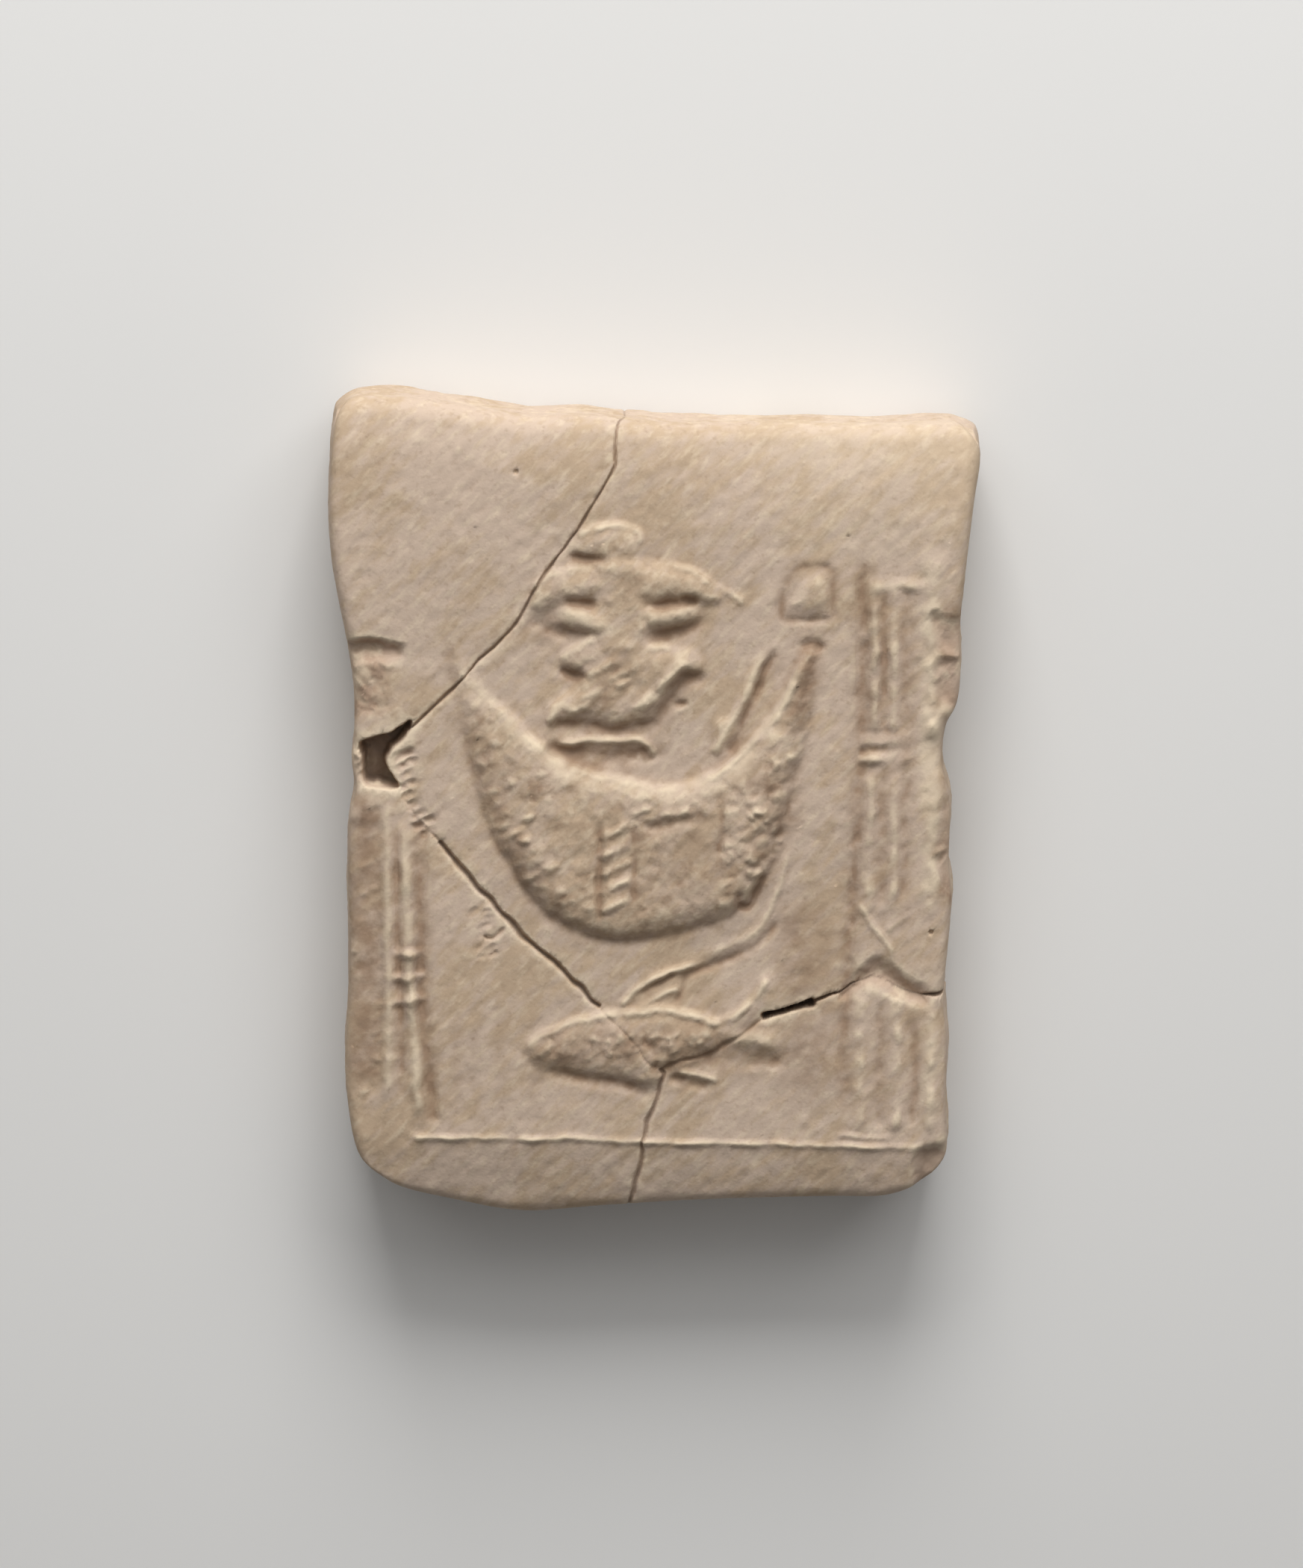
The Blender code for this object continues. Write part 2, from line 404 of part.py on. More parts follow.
def build_tablet():
    bm = bmesh.new()
    columns = round(SHEET_WIDTH / GRID_STEP)
    rows = round(SHEET_HEIGHT / GRID_STEP)
    bmesh.ops.create_grid(bm, x_segments=columns, y_segments=rows, size=0.5)
    outline = bm.verts.layers.float_vector.new("outline")
    square = np.array([vert.co[:2] for vert in bm.verts]) + 0.5
    u, v = np.clip(square, 0.0, 1.0).T
    sheet = spread(u, v)
    place = sheet_to_tablet(sheet)

    # How near each place is to the rim, as a share of the front rounding
    nearness = [np.clip(1.0 - np.minimum(share, 1 - share) * size / FRONT_ROUNDING, 0.0, 1.0)
                for share, size in ((u, WIDTH), (v, HEIGHT))]
    rim = np.clip(np.hypot(*nearness), 0.0, 1.0)
    rounding = FRONT_ROUNDING * (1.0 - np.sqrt(1.0 - rim ** 2))
    height = THICKNESS - lean(place[:, 1]) - rounding + carve(*sheet.T) * (1.0 - rim ** 4)
    inset = 1.0 - 2 * SIDE_BULGE * rim[:, None] ** 4 / np.array([WIDTH, HEIGHT])
    for vert, (x, y), z, (shrink_x, shrink_y) in zip(bm.verts, place, height, inset):
        vert.co = (x * shrink_x, y * shrink_y, z)
        vert[outline] = (x, y, z)

    # The side bulges a little and turns under to the flat back
    levels = []
    for ring in range(1, SIDE_RINGS + 1):
        share = ring / SIDE_RINGS
        levels.append((1.0 - share, 1.0, SIDE_BULGE * (2 * share - 1) ** 2))
    for ring in range(1, ROUNDING_RINGS + 1):
        turn = 0.5 * np.pi * ring / ROUNDING_RINGS
        levels.append((0.0, 1.0 - np.sin(turn), SIDE_BULGE + BACK_ROUNDING * (1.0 - np.cos(turn))))
    rim_edges = [edge for edge in bm.edges if edge.is_boundary]
    for above, rise, shrink in levels:
        grown = bmesh.ops.extrude_edge_only(bm, edges=rim_edges)["geom"]
        rim_edges = [item for item in grown if isinstance(item, bmesh.types.BMEdge) and item.is_boundary]
        for vert in {vert for edge in rim_edges for vert in edge.verts}:
            x, y, top = vert[outline]
            z = BACK_ROUNDING * rise + above * (top - BACK_ROUNDING)
            vert.co = (x * (1 - 2 * shrink / WIDTH), y * (1 - 2 * shrink / HEIGHT), z)
    bmesh.ops.edgeloop_fill(bm, edges=rim_edges)
    bmesh.ops.triangulate(bm, faces=bm.faces)
    bmesh.ops.recalc_face_normals(bm, faces=bm.faces)

    mesh = bpy.data.meshes.new("clay_tablet")
    bm.to_mesh(mesh)
    bm.free()
    return bpy.data.objects.new("clay_tablet", mesh)


def thin_out(tablet):
    """Bring the solid down to its budget of triangles, and keep its back flat."""
    thin = tablet.modifiers.new("Fewer faces", "DECIMATE")
    thin.ratio = TRIANGLE_BUDGET / len(tablet.data.polygons)
    evaluated = tablet.evaluated_get(bpy.context.evaluated_depsgraph_get())
    dense = tablet.data
    tablet.data = bpy.data.meshes.new_from_object(evaluated)
    tablet.modifiers.clear()
    bpy.data.meshes.remove(dense)
    tablet.data.name = "clay_tablet"
    almost_flat = 0.02 * BACK_ROUNDING
    for vertex in tablet.data.vertices:
        if vertex.co.z < almost_flat:
            vertex.co.z = 0.0


def fired_clay():
    material = bpy.data.materials.new("fired_clay")
    material.use_nodes = True
    shader = material.node_tree.nodes["Principled BSDF"]
    shader.inputs["Base Color"].default_value = (0.42, 0.32, 0.22, 1.0)
    shader.inputs["Roughness"].default_value = 0.9
    shader.inputs["Metallic"].default_value = 0.0
    return material


def main():
    for old in list(bpy.data.objects):
        bpy.data.objects.remove(old)
    collection = bpy.data.collections.new("clay_tablet")
    bpy.context.scene.collection.children.link(collection)
    tablet = build_tablet()
    collection.objects.link(tablet)
    thin_out(tablet)
    tablet.data.materials.append(fired_clay())


main()
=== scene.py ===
# %% [markdown]
# # A moulded clay tablet
#
# Long ago damp clay was pressed by hand into a shallow mould, lifted out and fired. Everything on
# the face is therefore soft: ridges are round, hollows are shallow, and thousands of years of wear
# have rubbed them rounder still. Later the tablet broke and its pieces were joined again.
#
# We build it the way it was made. The face is a sheet, forms are pressed into it, wear smooths it,
# and then the damage is cut out of the smoothed face, because damage came last and stays sharp.

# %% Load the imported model
import math
import bpy
import numpy as np
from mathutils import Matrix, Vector


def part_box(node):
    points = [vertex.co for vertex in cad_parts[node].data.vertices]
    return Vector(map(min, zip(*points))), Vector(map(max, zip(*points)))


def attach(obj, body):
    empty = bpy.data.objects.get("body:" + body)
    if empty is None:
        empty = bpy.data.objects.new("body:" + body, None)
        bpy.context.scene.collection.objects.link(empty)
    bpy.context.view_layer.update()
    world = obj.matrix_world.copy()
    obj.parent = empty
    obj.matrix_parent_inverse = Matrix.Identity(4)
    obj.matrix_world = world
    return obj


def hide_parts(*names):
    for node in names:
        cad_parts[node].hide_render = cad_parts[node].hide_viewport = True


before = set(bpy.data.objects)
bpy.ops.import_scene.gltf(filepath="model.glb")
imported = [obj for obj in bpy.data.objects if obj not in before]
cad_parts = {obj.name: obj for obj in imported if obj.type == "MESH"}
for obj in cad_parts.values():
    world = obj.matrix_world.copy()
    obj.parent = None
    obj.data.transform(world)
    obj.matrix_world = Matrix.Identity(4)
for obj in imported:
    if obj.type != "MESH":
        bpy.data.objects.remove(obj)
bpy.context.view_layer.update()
solid_low, solid_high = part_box("clay_tablet")
print("solid from", tuple(round(v, 4) for v in solid_low), "to", tuple(round(v, 4) for v in solid_high))

# %% [markdown]
# ## The camera
#
# The tablet lies on its back and is looked at from straight above, tipped a little towards its
# head, from about three quarters of a metre. A long lens keeps its sides almost parallel.

# %% Camera
CAMERA_TILT = math.radians(9)
CAMERA_DISTANCE = 0.75
CAMERA_AIM = Vector((-0.000347, 0.003106, 0.0165))
PICTURE_WIDTH_PX = 1745
FOCAL_LENGTH_PX = 9000
SENSOR_MM = 36


def in_scene(name, data):
    """A new object made of some data, linked into the scene."""
    thing = bpy.data.objects.new(name, data)
    bpy.context.scene.collection.objects.link(thing)
    return thing


lens = bpy.data.cameras.new("camera")
lens.sensor_width = SENSOR_MM
lens.sensor_fit = "HORIZONTAL"
lens.lens = FOCAL_LENGTH_PX / PICTURE_WIDTH_PX * SENSOR_MM
camera = in_scene("camera", lens)
camera.location = CAMERA_AIM + CAMERA_DISTANCE * Vector((0, math.sin(CAMERA_TILT), math.cos(CAMERA_TILT)))
camera.rotation_euler = (-CAMERA_TILT, 0, 0)
bpy.context.scene.camera = camera
print("lens", round(lens.lens, 1), "mm")

# %% [markdown]
# ## Light and floor
#
# Low relief is invisible in flat light and harsh in bare sunlight. One broad lamp stands beyond
# the tablet's head and low down, so that each form is bright above and shaded below; weaker
# ones beside and above it soften the shadows, and a faint sky fills the rest. The floor is plain.

# %% Lamps, sky and floor
WHITE = (1.0, 1.0, 1.0)
LAMP_REACH = 0.9
# Height and compass way in degrees, size in metres, power in watts
LAMPS = {"lamp_low": (28, 90, 0.46, 7.6), "lamp_left": (40, 122, 0.5, 0.8),
         "lamp_right": (40, 58, 0.5, 2.0), "lamp_high": (76, 90, 0.7, 1.1)}
SKY = 0.11
FLOOR_SIZE = 3.0
FLOOR_COLOUR = (0.78, 0.77, 0.75, 1.0)


def hang_lamp(name, height_degrees, way_degrees, size, power):
    """A square lamp at a height and a compass way, turned to the tablet."""
    height = math.radians(height_degrees)
    way = math.radians(way_degrees)
    light = bpy.data.lights.new(name, "AREA")
    light.size = size
    light.energy = power
    light.color = WHITE
    lamp = in_scene(name, light)
    towards = Vector((math.cos(height) * math.cos(way), math.cos(height) * math.sin(way), math.sin(height)))
    lamp.location = CAMERA_AIM + LAMP_REACH * towards
    lamp.rotation_euler = (-towards).to_track_quat("-Z", "Y").to_euler()


for name, (height, way, size, power) in LAMPS.items():
    hang_lamp(name, height, way, size, power)

world = bpy.data.worlds.new("soft_sky")
world.use_nodes = True
background = world.node_tree.nodes["Background"].inputs
background["Color"].default_value = (*WHITE, 1.0)
background["Strength"].default_value = SKY
bpy.context.scene.world = world
bpy.context.scene.view_settings.view_transform = "Standard"

bpy.ops.mesh.primitive_plane_add(size=FLOOR_SIZE)
floor = bpy.context.object
floor.name = "floor"
plain_floor = bpy.data.materials.new("plain_floor")
plain_floor.use_nodes = True
floor_shader = plain_floor.node_tree.nodes["Principled BSDF"].inputs
floor_shader["Base Color"].default_value = FLOOR_COLOUR
floor_shader["Roughness"].default_value = 0.85
floor.data.materials.append(plain_floor)
print("lamps", len(LAMPS))

# %% [markdown]
# ## The outline
#
# The picture is drawn on a sheet in millimetres from its middle, and every list of points gives x
# and y by turns. Four sides of the outline, each from corner to corner, are smooth curves through
# drawn points. A square of shares (0 to 1 across and up) is stretched between them, so that rows
# and columns of points follow the worn edge.

# %% The four sides
SHEET_WIDTH = 73.5
SHEET_HEIGHT = 93.6
TOP_SIDE = [
    -35.9, 45.2, -33.7, 46.8, -28.3, 46.8, -22.4, 46, -14.8, 44.8, -7.3, 44.8, 2, 43.9, 14.6, 43.9, 25.5,
    43.6, 33.1, 43.9, 36.1, 42.7]
BOTTOM_SIDE = [
    -32.5, -41, -28.5, -43.8, -22.6, -45.4, -14.9, -46.8, -6.5, -46.2, 5.4, -45.4, 18.9, -45, 25.7, -44.9,
    29.5, -43.4, 32.3, -41]
LEFT_SIDE = [
    -32.5, -41, -34.2, -38.8, -35.1, -34, -35.4, -28, -34.9, -18.5, -34.9, -2.3, -34, 2.4, -34.4, 5.4,
    -34.1, 9.4, -34.1, 14.7, -34.8, 19, -36.1, 25.7, -36.8, 32.5, -36.6, 37.8, -36.4, 41.6, -35.9, 45.2]
RIGHT_SIDE = [
    32.3, -41, 33.5, -39, 33.3, -34, 33.4, -26, 33, -21, 33.8, -10.8, 33.5, -5.7, 33.6, 1.1, 32.7, 5.4, 33,
    9.5, 34.3, 12.2, 34.7, 16, 34.6, 21, 35.1, 26.5, 36.1, 35, 36.8, 39.8, 36.1, 42.7]
CURVE_STEPS = 6


def clamp(share):
    """A share kept within 0 and 1."""
    return np.clip(share, 0.0, 1.0)


def smooth(share):
    """An even rise from 0 to 1 as the share does."""
    share = clamp(share)
    return share * share * (3.0 - 2.0 * share)


def curve_through(points, closed=False):
    """Points along a smooth curve through the drawn ones."""
    drawn = np.array(points, dtype=float).reshape(-1, 2)
    if closed:
        drawn = np.vstack([drawn[-1:], drawn, drawn[:2]])
    else:
        drawn = np.vstack([2 * drawn[0] - drawn[1], drawn, 2 * drawn[-1] - drawn[-2]])
    t = (np.arange(CURVE_STEPS) / CURVE_STEPS)[:, None]
    runs = []
    for a, b, c, d in zip(drawn[:-3], drawn[1:-2], drawn[2:-1], drawn[3:]):
        bend = (2 * a - 5 * b + 4 * c - d) * t ** 2 + (3 * b - a - 3 * c + d) * t ** 3
        runs.append(0.5 * (2 * b + (c - a) * t + bend))
    return np.vstack(runs + [drawn[-2:-1]])


def side_at(points, shares):
    """Places at even shares of the length of one side of the outline."""
    path = curve_through(points)
    steps = np.linalg.norm(np.diff(path, axis=0), axis=1)
    reached = np.concatenate([[0.0], np.cumsum(steps)]) / steps.sum()
    return np.stack([np.interp(shares, reached, path[:, axis]) for axis in (0, 1)], axis=1)


def spread(u, v):
    """The sheet's places for a square of shares, stretched between the four sides."""
    top = side_at(TOP_SIDE, u)
    bottom = side_at(BOTTOM_SIDE, u)
    left = side_at(LEFT_SIDE, v)
    right = side_at(RIGHT_SIDE, v)
    u = u[:, None]
    v = v[:, None]
    corners = [np.array(ends) for ends in (BOTTOM_SIDE[:2], BOTTOM_SIDE[-2:], TOP_SIDE[:2], TOP_SIDE[-2:])]
    flat = (1 - v) * ((1 - u) * corners[0] + u * corners[1]) + v * ((1 - u) * corners[2] + u * corners[3])
    return (1 - v) * bottom + v * top + (1 - u) * left + u * right - flat


print("points on the long sides", len(LEFT_SIDE) // 2, len(RIGHT_SIDE) // 2)

# %% [markdown]
# The rows and columns stand closer near the rim, where the face turns over into the side. Spacing
# them evenly by the angle of that turn keeps the rounded edge smooth.

# %% The sheet's rows and columns
SHEET_STEP = 0.15
RIM_ROUNDING = 2.6
RIM_TURNS = 15
BACK_STRIDE = 3


def shares_across(size):
    """Shares from rim to rim, close together where the edge is rounded."""
    turn = np.linspace(0.0, 0.5 * math.pi, RIM_TURNS + 1)
    edge = RIM_ROUNDING * (1.0 - np.cos(turn))
    cells = BACK_STRIDE * round((size - 2 * RIM_ROUNDING) / SHEET_STEP / BACK_STRIDE)
    middle = np.linspace(RIM_ROUNDING, size - RIM_ROUNDING, cells + 1)[1:-1]
    return np.concatenate([edge, middle, size - edge[::-1]]) / size


share_across = shares_across(SHEET_WIDTH)
share_up = shares_across(SHEET_HEIGHT)
GRID = (len(share_up), len(share_across))
U, V = [grid.ravel() for grid in np.meshgrid(share_across, share_up)]
SHEET = spread(U, V)
X, Y = SHEET.T
print("sheet of", GRID, "points, x", X.min().round(1), X.max().round(1))

# %% [markdown]
# ## Noise
#
# Nothing pressed by hand is straight or level. Value noise draws random numbers on a coarse
# lattice and blends smoothly between them; several sizes added up give a natural unevenness.
# The seeds are fixed, so the tablet comes out the same each time.

# %% Even noise and rough noise
LATTICE = 256


def noise(x, y, size, seed):
    """Noise from -1 to 1, with features of a size in millimetres."""
    lattice = np.random.default_rng(seed).uniform(-1.0, 1.0, (LATTICE, LATTICE))
    x = x / size + 0.37 * LATTICE
    y = y / size + 0.41 * LATTICE
    column = np.floor(x).astype(int)
    row = np.floor(y).astype(int)
    x = smooth(x - column)
    y = smooth(y - row)
    column, next_column = column % LATTICE, (column + 1) % LATTICE
    row, next_row = row % LATTICE, (row + 1) % LATTICE
    low = lattice[column, row] * (1 - x) + lattice[next_column, row] * x
    high = lattice[column, next_row] * (1 - x) + lattice[next_column, next_row] * x
    return low * (1 - y) + high * y


def rough(x, y, size, seed):
    """Three sizes of noise added up, each half the size and height of the last."""
    return sum(0.5 ** k * noise(x, y, size / 2 ** k, seed + k) for k in range(3))


print("noise of", LATTICE, "by", LATTICE, "numbers")

# %% [markdown]
# ## The pressing tools
#
# Every form of the relief is one of a few kinds: a rounded strip along a curve (a ridge, or a
# groove when it is cut), a pad with rounded sides inside an outline, and a dome. Forms, lines,
# furrows, losses, brown stains with the painted shade of the grooves, and pale dust with painted
# highlights are layers of their own, joined at the end. In each the strongest wins, so that two
# strips that cross don't pile up. The drawn places wobble a little, as by hand.

# %% The face and its tools
UNDER_EDGE = 1.1


class Face:
    """Layers over some places of the sheet, with heights in millimetres at a relief of one."""

    def __init__(self, x, y):
        self.x = x
        self.y = y
        self.form, self.line, self.furrow, self.loss, self.stain, self.pale = np.zeros((6, len(x)))

    def near(self, path, reach):
        """The places within reach of a path, their distance from it and how far along they are."""
        low = path.min(axis=0) - reach
        high = path.max(axis=0) + reach
        in_x = (self.x > low[0]) & (self.x < high[0])
        spots = np.nonzero(in_x & (self.y > low[1]) & (self.y < high[1]))[0]
        place = np.stack([self.x[spots], self.y[spots]], axis=1)
        distance = np.full(len(spots), np.inf)
        along = np.zeros(len(spots))
        for index, (start, end) in enumerate(zip(path[:-1], path[1:])):
            run = end - start
            share = clamp((place - start) @ run / max(run @ run, 1e-9))
            away = np.linalg.norm(place - start - share[:, None] * run, axis=1)
            closer = away < distance
            distance[closer] = away[closer]
            along[closer] = (index + share[closer]) / (len(path) - 1)
        return spots, distance, along

    def inside(self, loop, spots):
        """Whether each place lies inside a closed loop."""
        x = self.x[spots]
        y = self.y[spots]
        within = np.zeros(len(spots), dtype=bool)
        for (x0, y0), (x1, y1) in zip(loop[:-1], loop[1:]):
            if y0 != y1:
                within ^= ((y0 > y) != (y1 > y)) & (x < x0 + (y - y0) * (x1 - x0) / (y1 - y0))
        return within

    def depth_in(self, outline, reach):
        """How deep each place lies inside an outline, less than nothing outside it."""
        loop = curve_through(outline, closed=True)
        spots, distance, _ = self.near(loop, reach)
        return spots, np.where(self.inside(loop, spots), distance, -distance)

    def strip(self, layer, points, width, size, fade=0.12, power=2):
        """Lay a rounded strip of a width along a curve, fading towards its ends."""
        spots, distance, along = self.near(curve_through(points), width / 2)
        across = clamp(1.0 - (2 * distance / width) ** 2) ** power
        ends = smooth(np.minimum(along, 1 - along) / fade)
        layer[spots] = np.maximum(layer[spots], size * across * ends)

    def ridge(self, points, width, height, fade=0.12):
        """A rounded ridge, paler along its worn top."""
        self.strip(self.line, points, width, height, fade)
        self.strip(self.pale, points, width, min(1.7 * height, 0.5), fade)

    def groove(self, points, width, depth, fade=0.12):
        """A rounded furrow with brown painted along it: a stain, and in the furrow also a painted shade."""
        self.strip(self.furrow, points, width, depth, fade)
        self.tint(points, 1.7 * width, min(1.7 * depth, 0.6), fade)

    def tint(self, points, width, share, fade=0.12):
        """Soft brown painted along a curve, with no cut: a stain, and along a groove its painted shade."""
        self.strip(self.stain, points, width, share, fade, power=1)

    def pad(self, outline, height, edge):
        """A raised form whose side rounds over from the outline inwards."""
        spots, depth = self.depth_in(outline, 0.3)
        round_over = np.sin(0.5 * math.pi * clamp((depth + 0.25) / edge))
        self.form[spots] = np.maximum(self.form[spots], height * round_over)

    def swell(self, outline, height, width):
        """More height towards the middle of an outline."""
        spots, depth = self.depth_in(outline, 0.0)
        rise = clamp(depth / width)
        self.form[spots] += height * np.sqrt(1.0 - (1.0 - rise) ** 2)

    def dome(self, centre, radius, height):
        """A round swelling."""
        away = ((self.x - centre[0]) / radius[0]) ** 2 + ((self.y - centre[1]) / radius[1]) ** 2
        self.form[:] = np.maximum(self.form, height * clamp(1.0 - away) ** 0.6)

    def patch(self, outline, depth, edge):
        """A loss over an outline, sloping across its edge."""
        spots, inwards = self.depth_in(outline, edge)
        self.loss[spots] = np.maximum(self.loss[spots], depth * smooth(0.5 + inwards / edge))

    def notch(self, upper, lower, depth, floor):
        """A flake lost below an upper edge: deep under the edge, rising to a lower level."""
        top = np.interp(self.x, upper[::2], upper[1::2])
        low = np.interp(self.x, lower[::2], lower[1::2])
        down = np.clip(top - self.y, 0.0, None)
        rising = depth - (depth - floor) * smooth((down - UNDER_EDGE) / 2.4)
        shape = np.where(down < UNDER_EDGE, depth * smooth(down), rising)
        ends = smooth((upper[-2] - self.x) / 4.5) * smooth((self.y - low) / 1.2)
        self.loss[:] = np.maximum(self.loss, shape * ends)


hand_wobble = [0.16 * rough(X, Y, 2.6, seed) + 0.05 * noise(X, Y, 0.6, seed + 3) for seed in (11, 21)]
face = Face(X + hand_wobble[0], Y + hand_wobble[1])
pad, swell, ridge, groove, tint = face.pad, face.swell, face.ridge, face.groove, face.tint
print("places on the face", len(face.x))

# %% [markdown]
# ## The boat
#
# A reed boat with two high horns carries the whole picture. Its hull is one long pad that swells
# towards its middle, with a thick rounded gunwale along the rim, lashings amidships and a few
# lumps that wear has left of its bundles.

# %% Rim, hull and gunwale
BOAT_RIM = [
    -22.5, 20.3, -21.5, 17, -19.6, 14.2, -17.2, 11.9, -14, 8.6, -11.2, 6.2, -7, 4.5, -3.5, 3.8, 1.8, 3, 5.3,
    3.6, 8.8, 5.2, 11.3, 7.5, 14, 12.1, 15.4, 15, 16.8, 18.4]
BOAT_HULL = [
    17.9, 18.6, 17.7, 13.2, 16.8, 8.2, 15.4, 3.9, 14.6, 0.4, 13.6, -3.1, 12.1, -7.5, 8.5, -11.6, 5.3, -12.8,
    0, -14.1, -4.9, -14.4, -8.4, -13.5, -12.7, -10.7, -15.8, -6.4, -17.9, -2.8, -19.5, 1.5, -20.9, 8.6,
    -22.3, 15.7]
HULL_CREASE = [
    -19.6, 1.5, -17.9, -2.8, -15.8, -6.4, -12.7, -10.7, -8.4, -13.7, -4.9, -14.7, 0, -14.3, 5.3, -13.1, 8.5,
    -11.8]


def lower_by(points, drop):
    """A curve through the points, moved down."""
    return curve_through(points)[::CURVE_STEPS] - (0, drop)


def stroke(x, y, half, rise):
    """Three points of a short stroke that rises to the right."""
    return [x - half, y - rise, x, y, x + half, y + rise]


def lump(x, y, half, height, width):
    """A short ridge."""
    ridge(stroke(x, y, half, 0.4 * half), width, height, 0.4)


def strew(seed, count, points, reach, half, height, width):
    """Short random ridges along a path and to both sides of it."""
    path = curve_through(points)
    for along, beside, size, rise in np.random.default_rng(seed).uniform(0.0, 1.0, (count, 4)):
        x, y = path[int(along * (len(path) - 1))] + reach * (2 * beside - 1) * np.array((1.0, 0.5))
        lump(x, y, half * (0.5 + size), height * (0.4 + rise), width)


pad(BOAT_RIM + BOAT_HULL, 0.62, 3.0)
swell(BOAT_RIM + BOAT_HULL, 0.34, 5.5)
ridge(lower_by(BOAT_RIM, 0.9), 3.4, 0.2, 0.2)
ridge(lower_by(BOAT_RIM, 0.25), 2.0, 0.3, 0.2)
ridge([16.8, 18, 15.7, 15.2, 14.1, 11.9, 12.2, 9.3, 9.8, 6.5, 6.9, 4.3, 4, 3.4], 1.7, 0.52)
groove(HULL_CREASE, 2.4, 0.13)
groove([-6.2, -0.7, -6.2, -7, -6.3, -13], 1.2, 0.28)
groove([-2.2, -1.1, -2.3, -5.3, -2.5, -10.4], 1.1, 0.22)
groove([7.4, 1.2, 7.5, -2, 6.8, -6.6], 1.0, 0.2)
groove([12.1, -6.2, 11.6, -8.3, 10.6, -10.7, 9.3, -10.1, 9.5, -8.6], 1.2, 0.32)
groove([-2, -1.5, 0.5, -1.6, 2.9, -1, 6.1, -0.5], 1.8, 0.24)
groove([-14.4, 1.8, -13.7, 1.6, -13.1, 1.9], 1.4, 0.32, 0.4)
for x, y, half, height in ((-1.5, 2.5, 1.3, 0.24), (-1.4, 0.2, 1.4, 0.34), (1.3, -0.1, 0.8, 0.3),
                           (3.4, 0.3, 0.8, 0.36), (5.6, 0.5, 0.8, 0.4), (4.0, 1.6, 1.4, 0.14),
                           (-14.2, -0.4, 0.9, 0.35), (-14.6, -3.1, 0.9, 0.3), (-12.2, 4.8, 1.0, 0.2)):
    lump(x, y, half, height, 1.2)
strew(29, 60, [-18.8, 10.8, -17, 1.5, -13.5, -5.6, -7.4, -12], 1.6, 0.7, 0.17, 1.2)
strew(41, 80, [12.2, 5.8, 12.3, 1.5, 11.4, -3, 9.8, -8.5], 3.2, 0.5, 0.11, 0.9)
tint([-22.9, 20.5, -22.8, 16, -21.8, 11, -20.6, 5], 1.8, 0.36)
tint([-20.6, 12.5, -19.2, 5.5, -17.6, -0.5, -15.2, -5.2, -12.2, -9.2, -8, -12.5], 4.2, 0.46)
tint([9, 4.2, 12.4, 4.4, 14.6, 1, 12.6, -4, 10, -8.8], 5.8, 0.42)
tint([13.6, -8.6, 17, -16, 17.4, -25, 17, -35], 9.0, 0.44, 0.2)
tint([-4, -6.5, 3, -6, 10, -4], 12.0, 0.2, 0.3)
for x, y in ((-0.5, -3.4), (4.5, -3.0), (-16.5, 6.0), (-13.5, 2.5), (10.5, -7.0)):
    tint([x - 1.8, y - 0.6, x, y, x + 1.8, y + 0.4], 3.0, 0.32, 0.45)
print("boat pressed, highest", face.form.max().round(2))

# %% [markdown]
# ## The mast
#
# Between the right horn and the figure stands a leaning pole with a square emblem at its head: a
# small cushion of clay inside a sunk frame. The dark line beside the pole is a deep groove.

# %% Pole and emblem
ridge([6.3, 6.6, 7.3, 7.8, 9, 10.7, 10.9, 15.2, 13, 19.2], 1.5, 0.3)
groove([8.2, 6.9, 9, 7.6, 9.9, 9.8, 11.4, 13.7, 12.4, 16, 13.7, 18.5], 1.4, 0.28, 0.08)
pad([6.9, 10.2, 8.4, 10.4, 8.3, 9, 7.6, 7, 7, 7], 0.24, 0.8)
groove([16.3, 18.3, 17.1, 18.8, 18.1, 18.6, 18.5, 17.9], 2.2, 0.3, 0.3)
groove([17.7, 17.8, 17.5, 16.2, 17.1, 14.2, 16.4, 12.2], 1.8, 0.24, 0.2)
tint([17.2, 18.6, 16.9, 15.4, 16.2, 12, 14.8, 8.6], 3.4, 0.72, 0.12)
tint([16, 18.6, 18.8, 18.2], 3.4, 0.7, 0.2)
EMBLEM = [(14.3, 25.3), (16.0, 27.4), (19.9, 27.6), (20.0, 21.8), (14.2, 21.6)]
for start, end in zip(EMBLEM, EMBLEM[1:] + EMBLEM[:1]):
    groove(start + end, 1.2, 0.15, 0.05)
    tint(start + end, 1.6, 0.5, 0.05)
groove([14.6, 21.7, 17, 21.6, 19.8, 21.8], 1.3, 0.22)
pad([15.5, 24.4, 17, 26.2, 18.9, 26.4, 19.1, 23, 15.3, 22.9], 0.27, 1.5)
print("mast pressed")

# %% [markdown]
# ## The seated figure
#
# A robed figure sits with folded arms and one foot put forward. Wear has left its head as a plain
# round swelling, so it is a dome and nothing more. Shoulders, chest, forearms and robe are full
# pads that overlap; deep cuts under the arms part them.

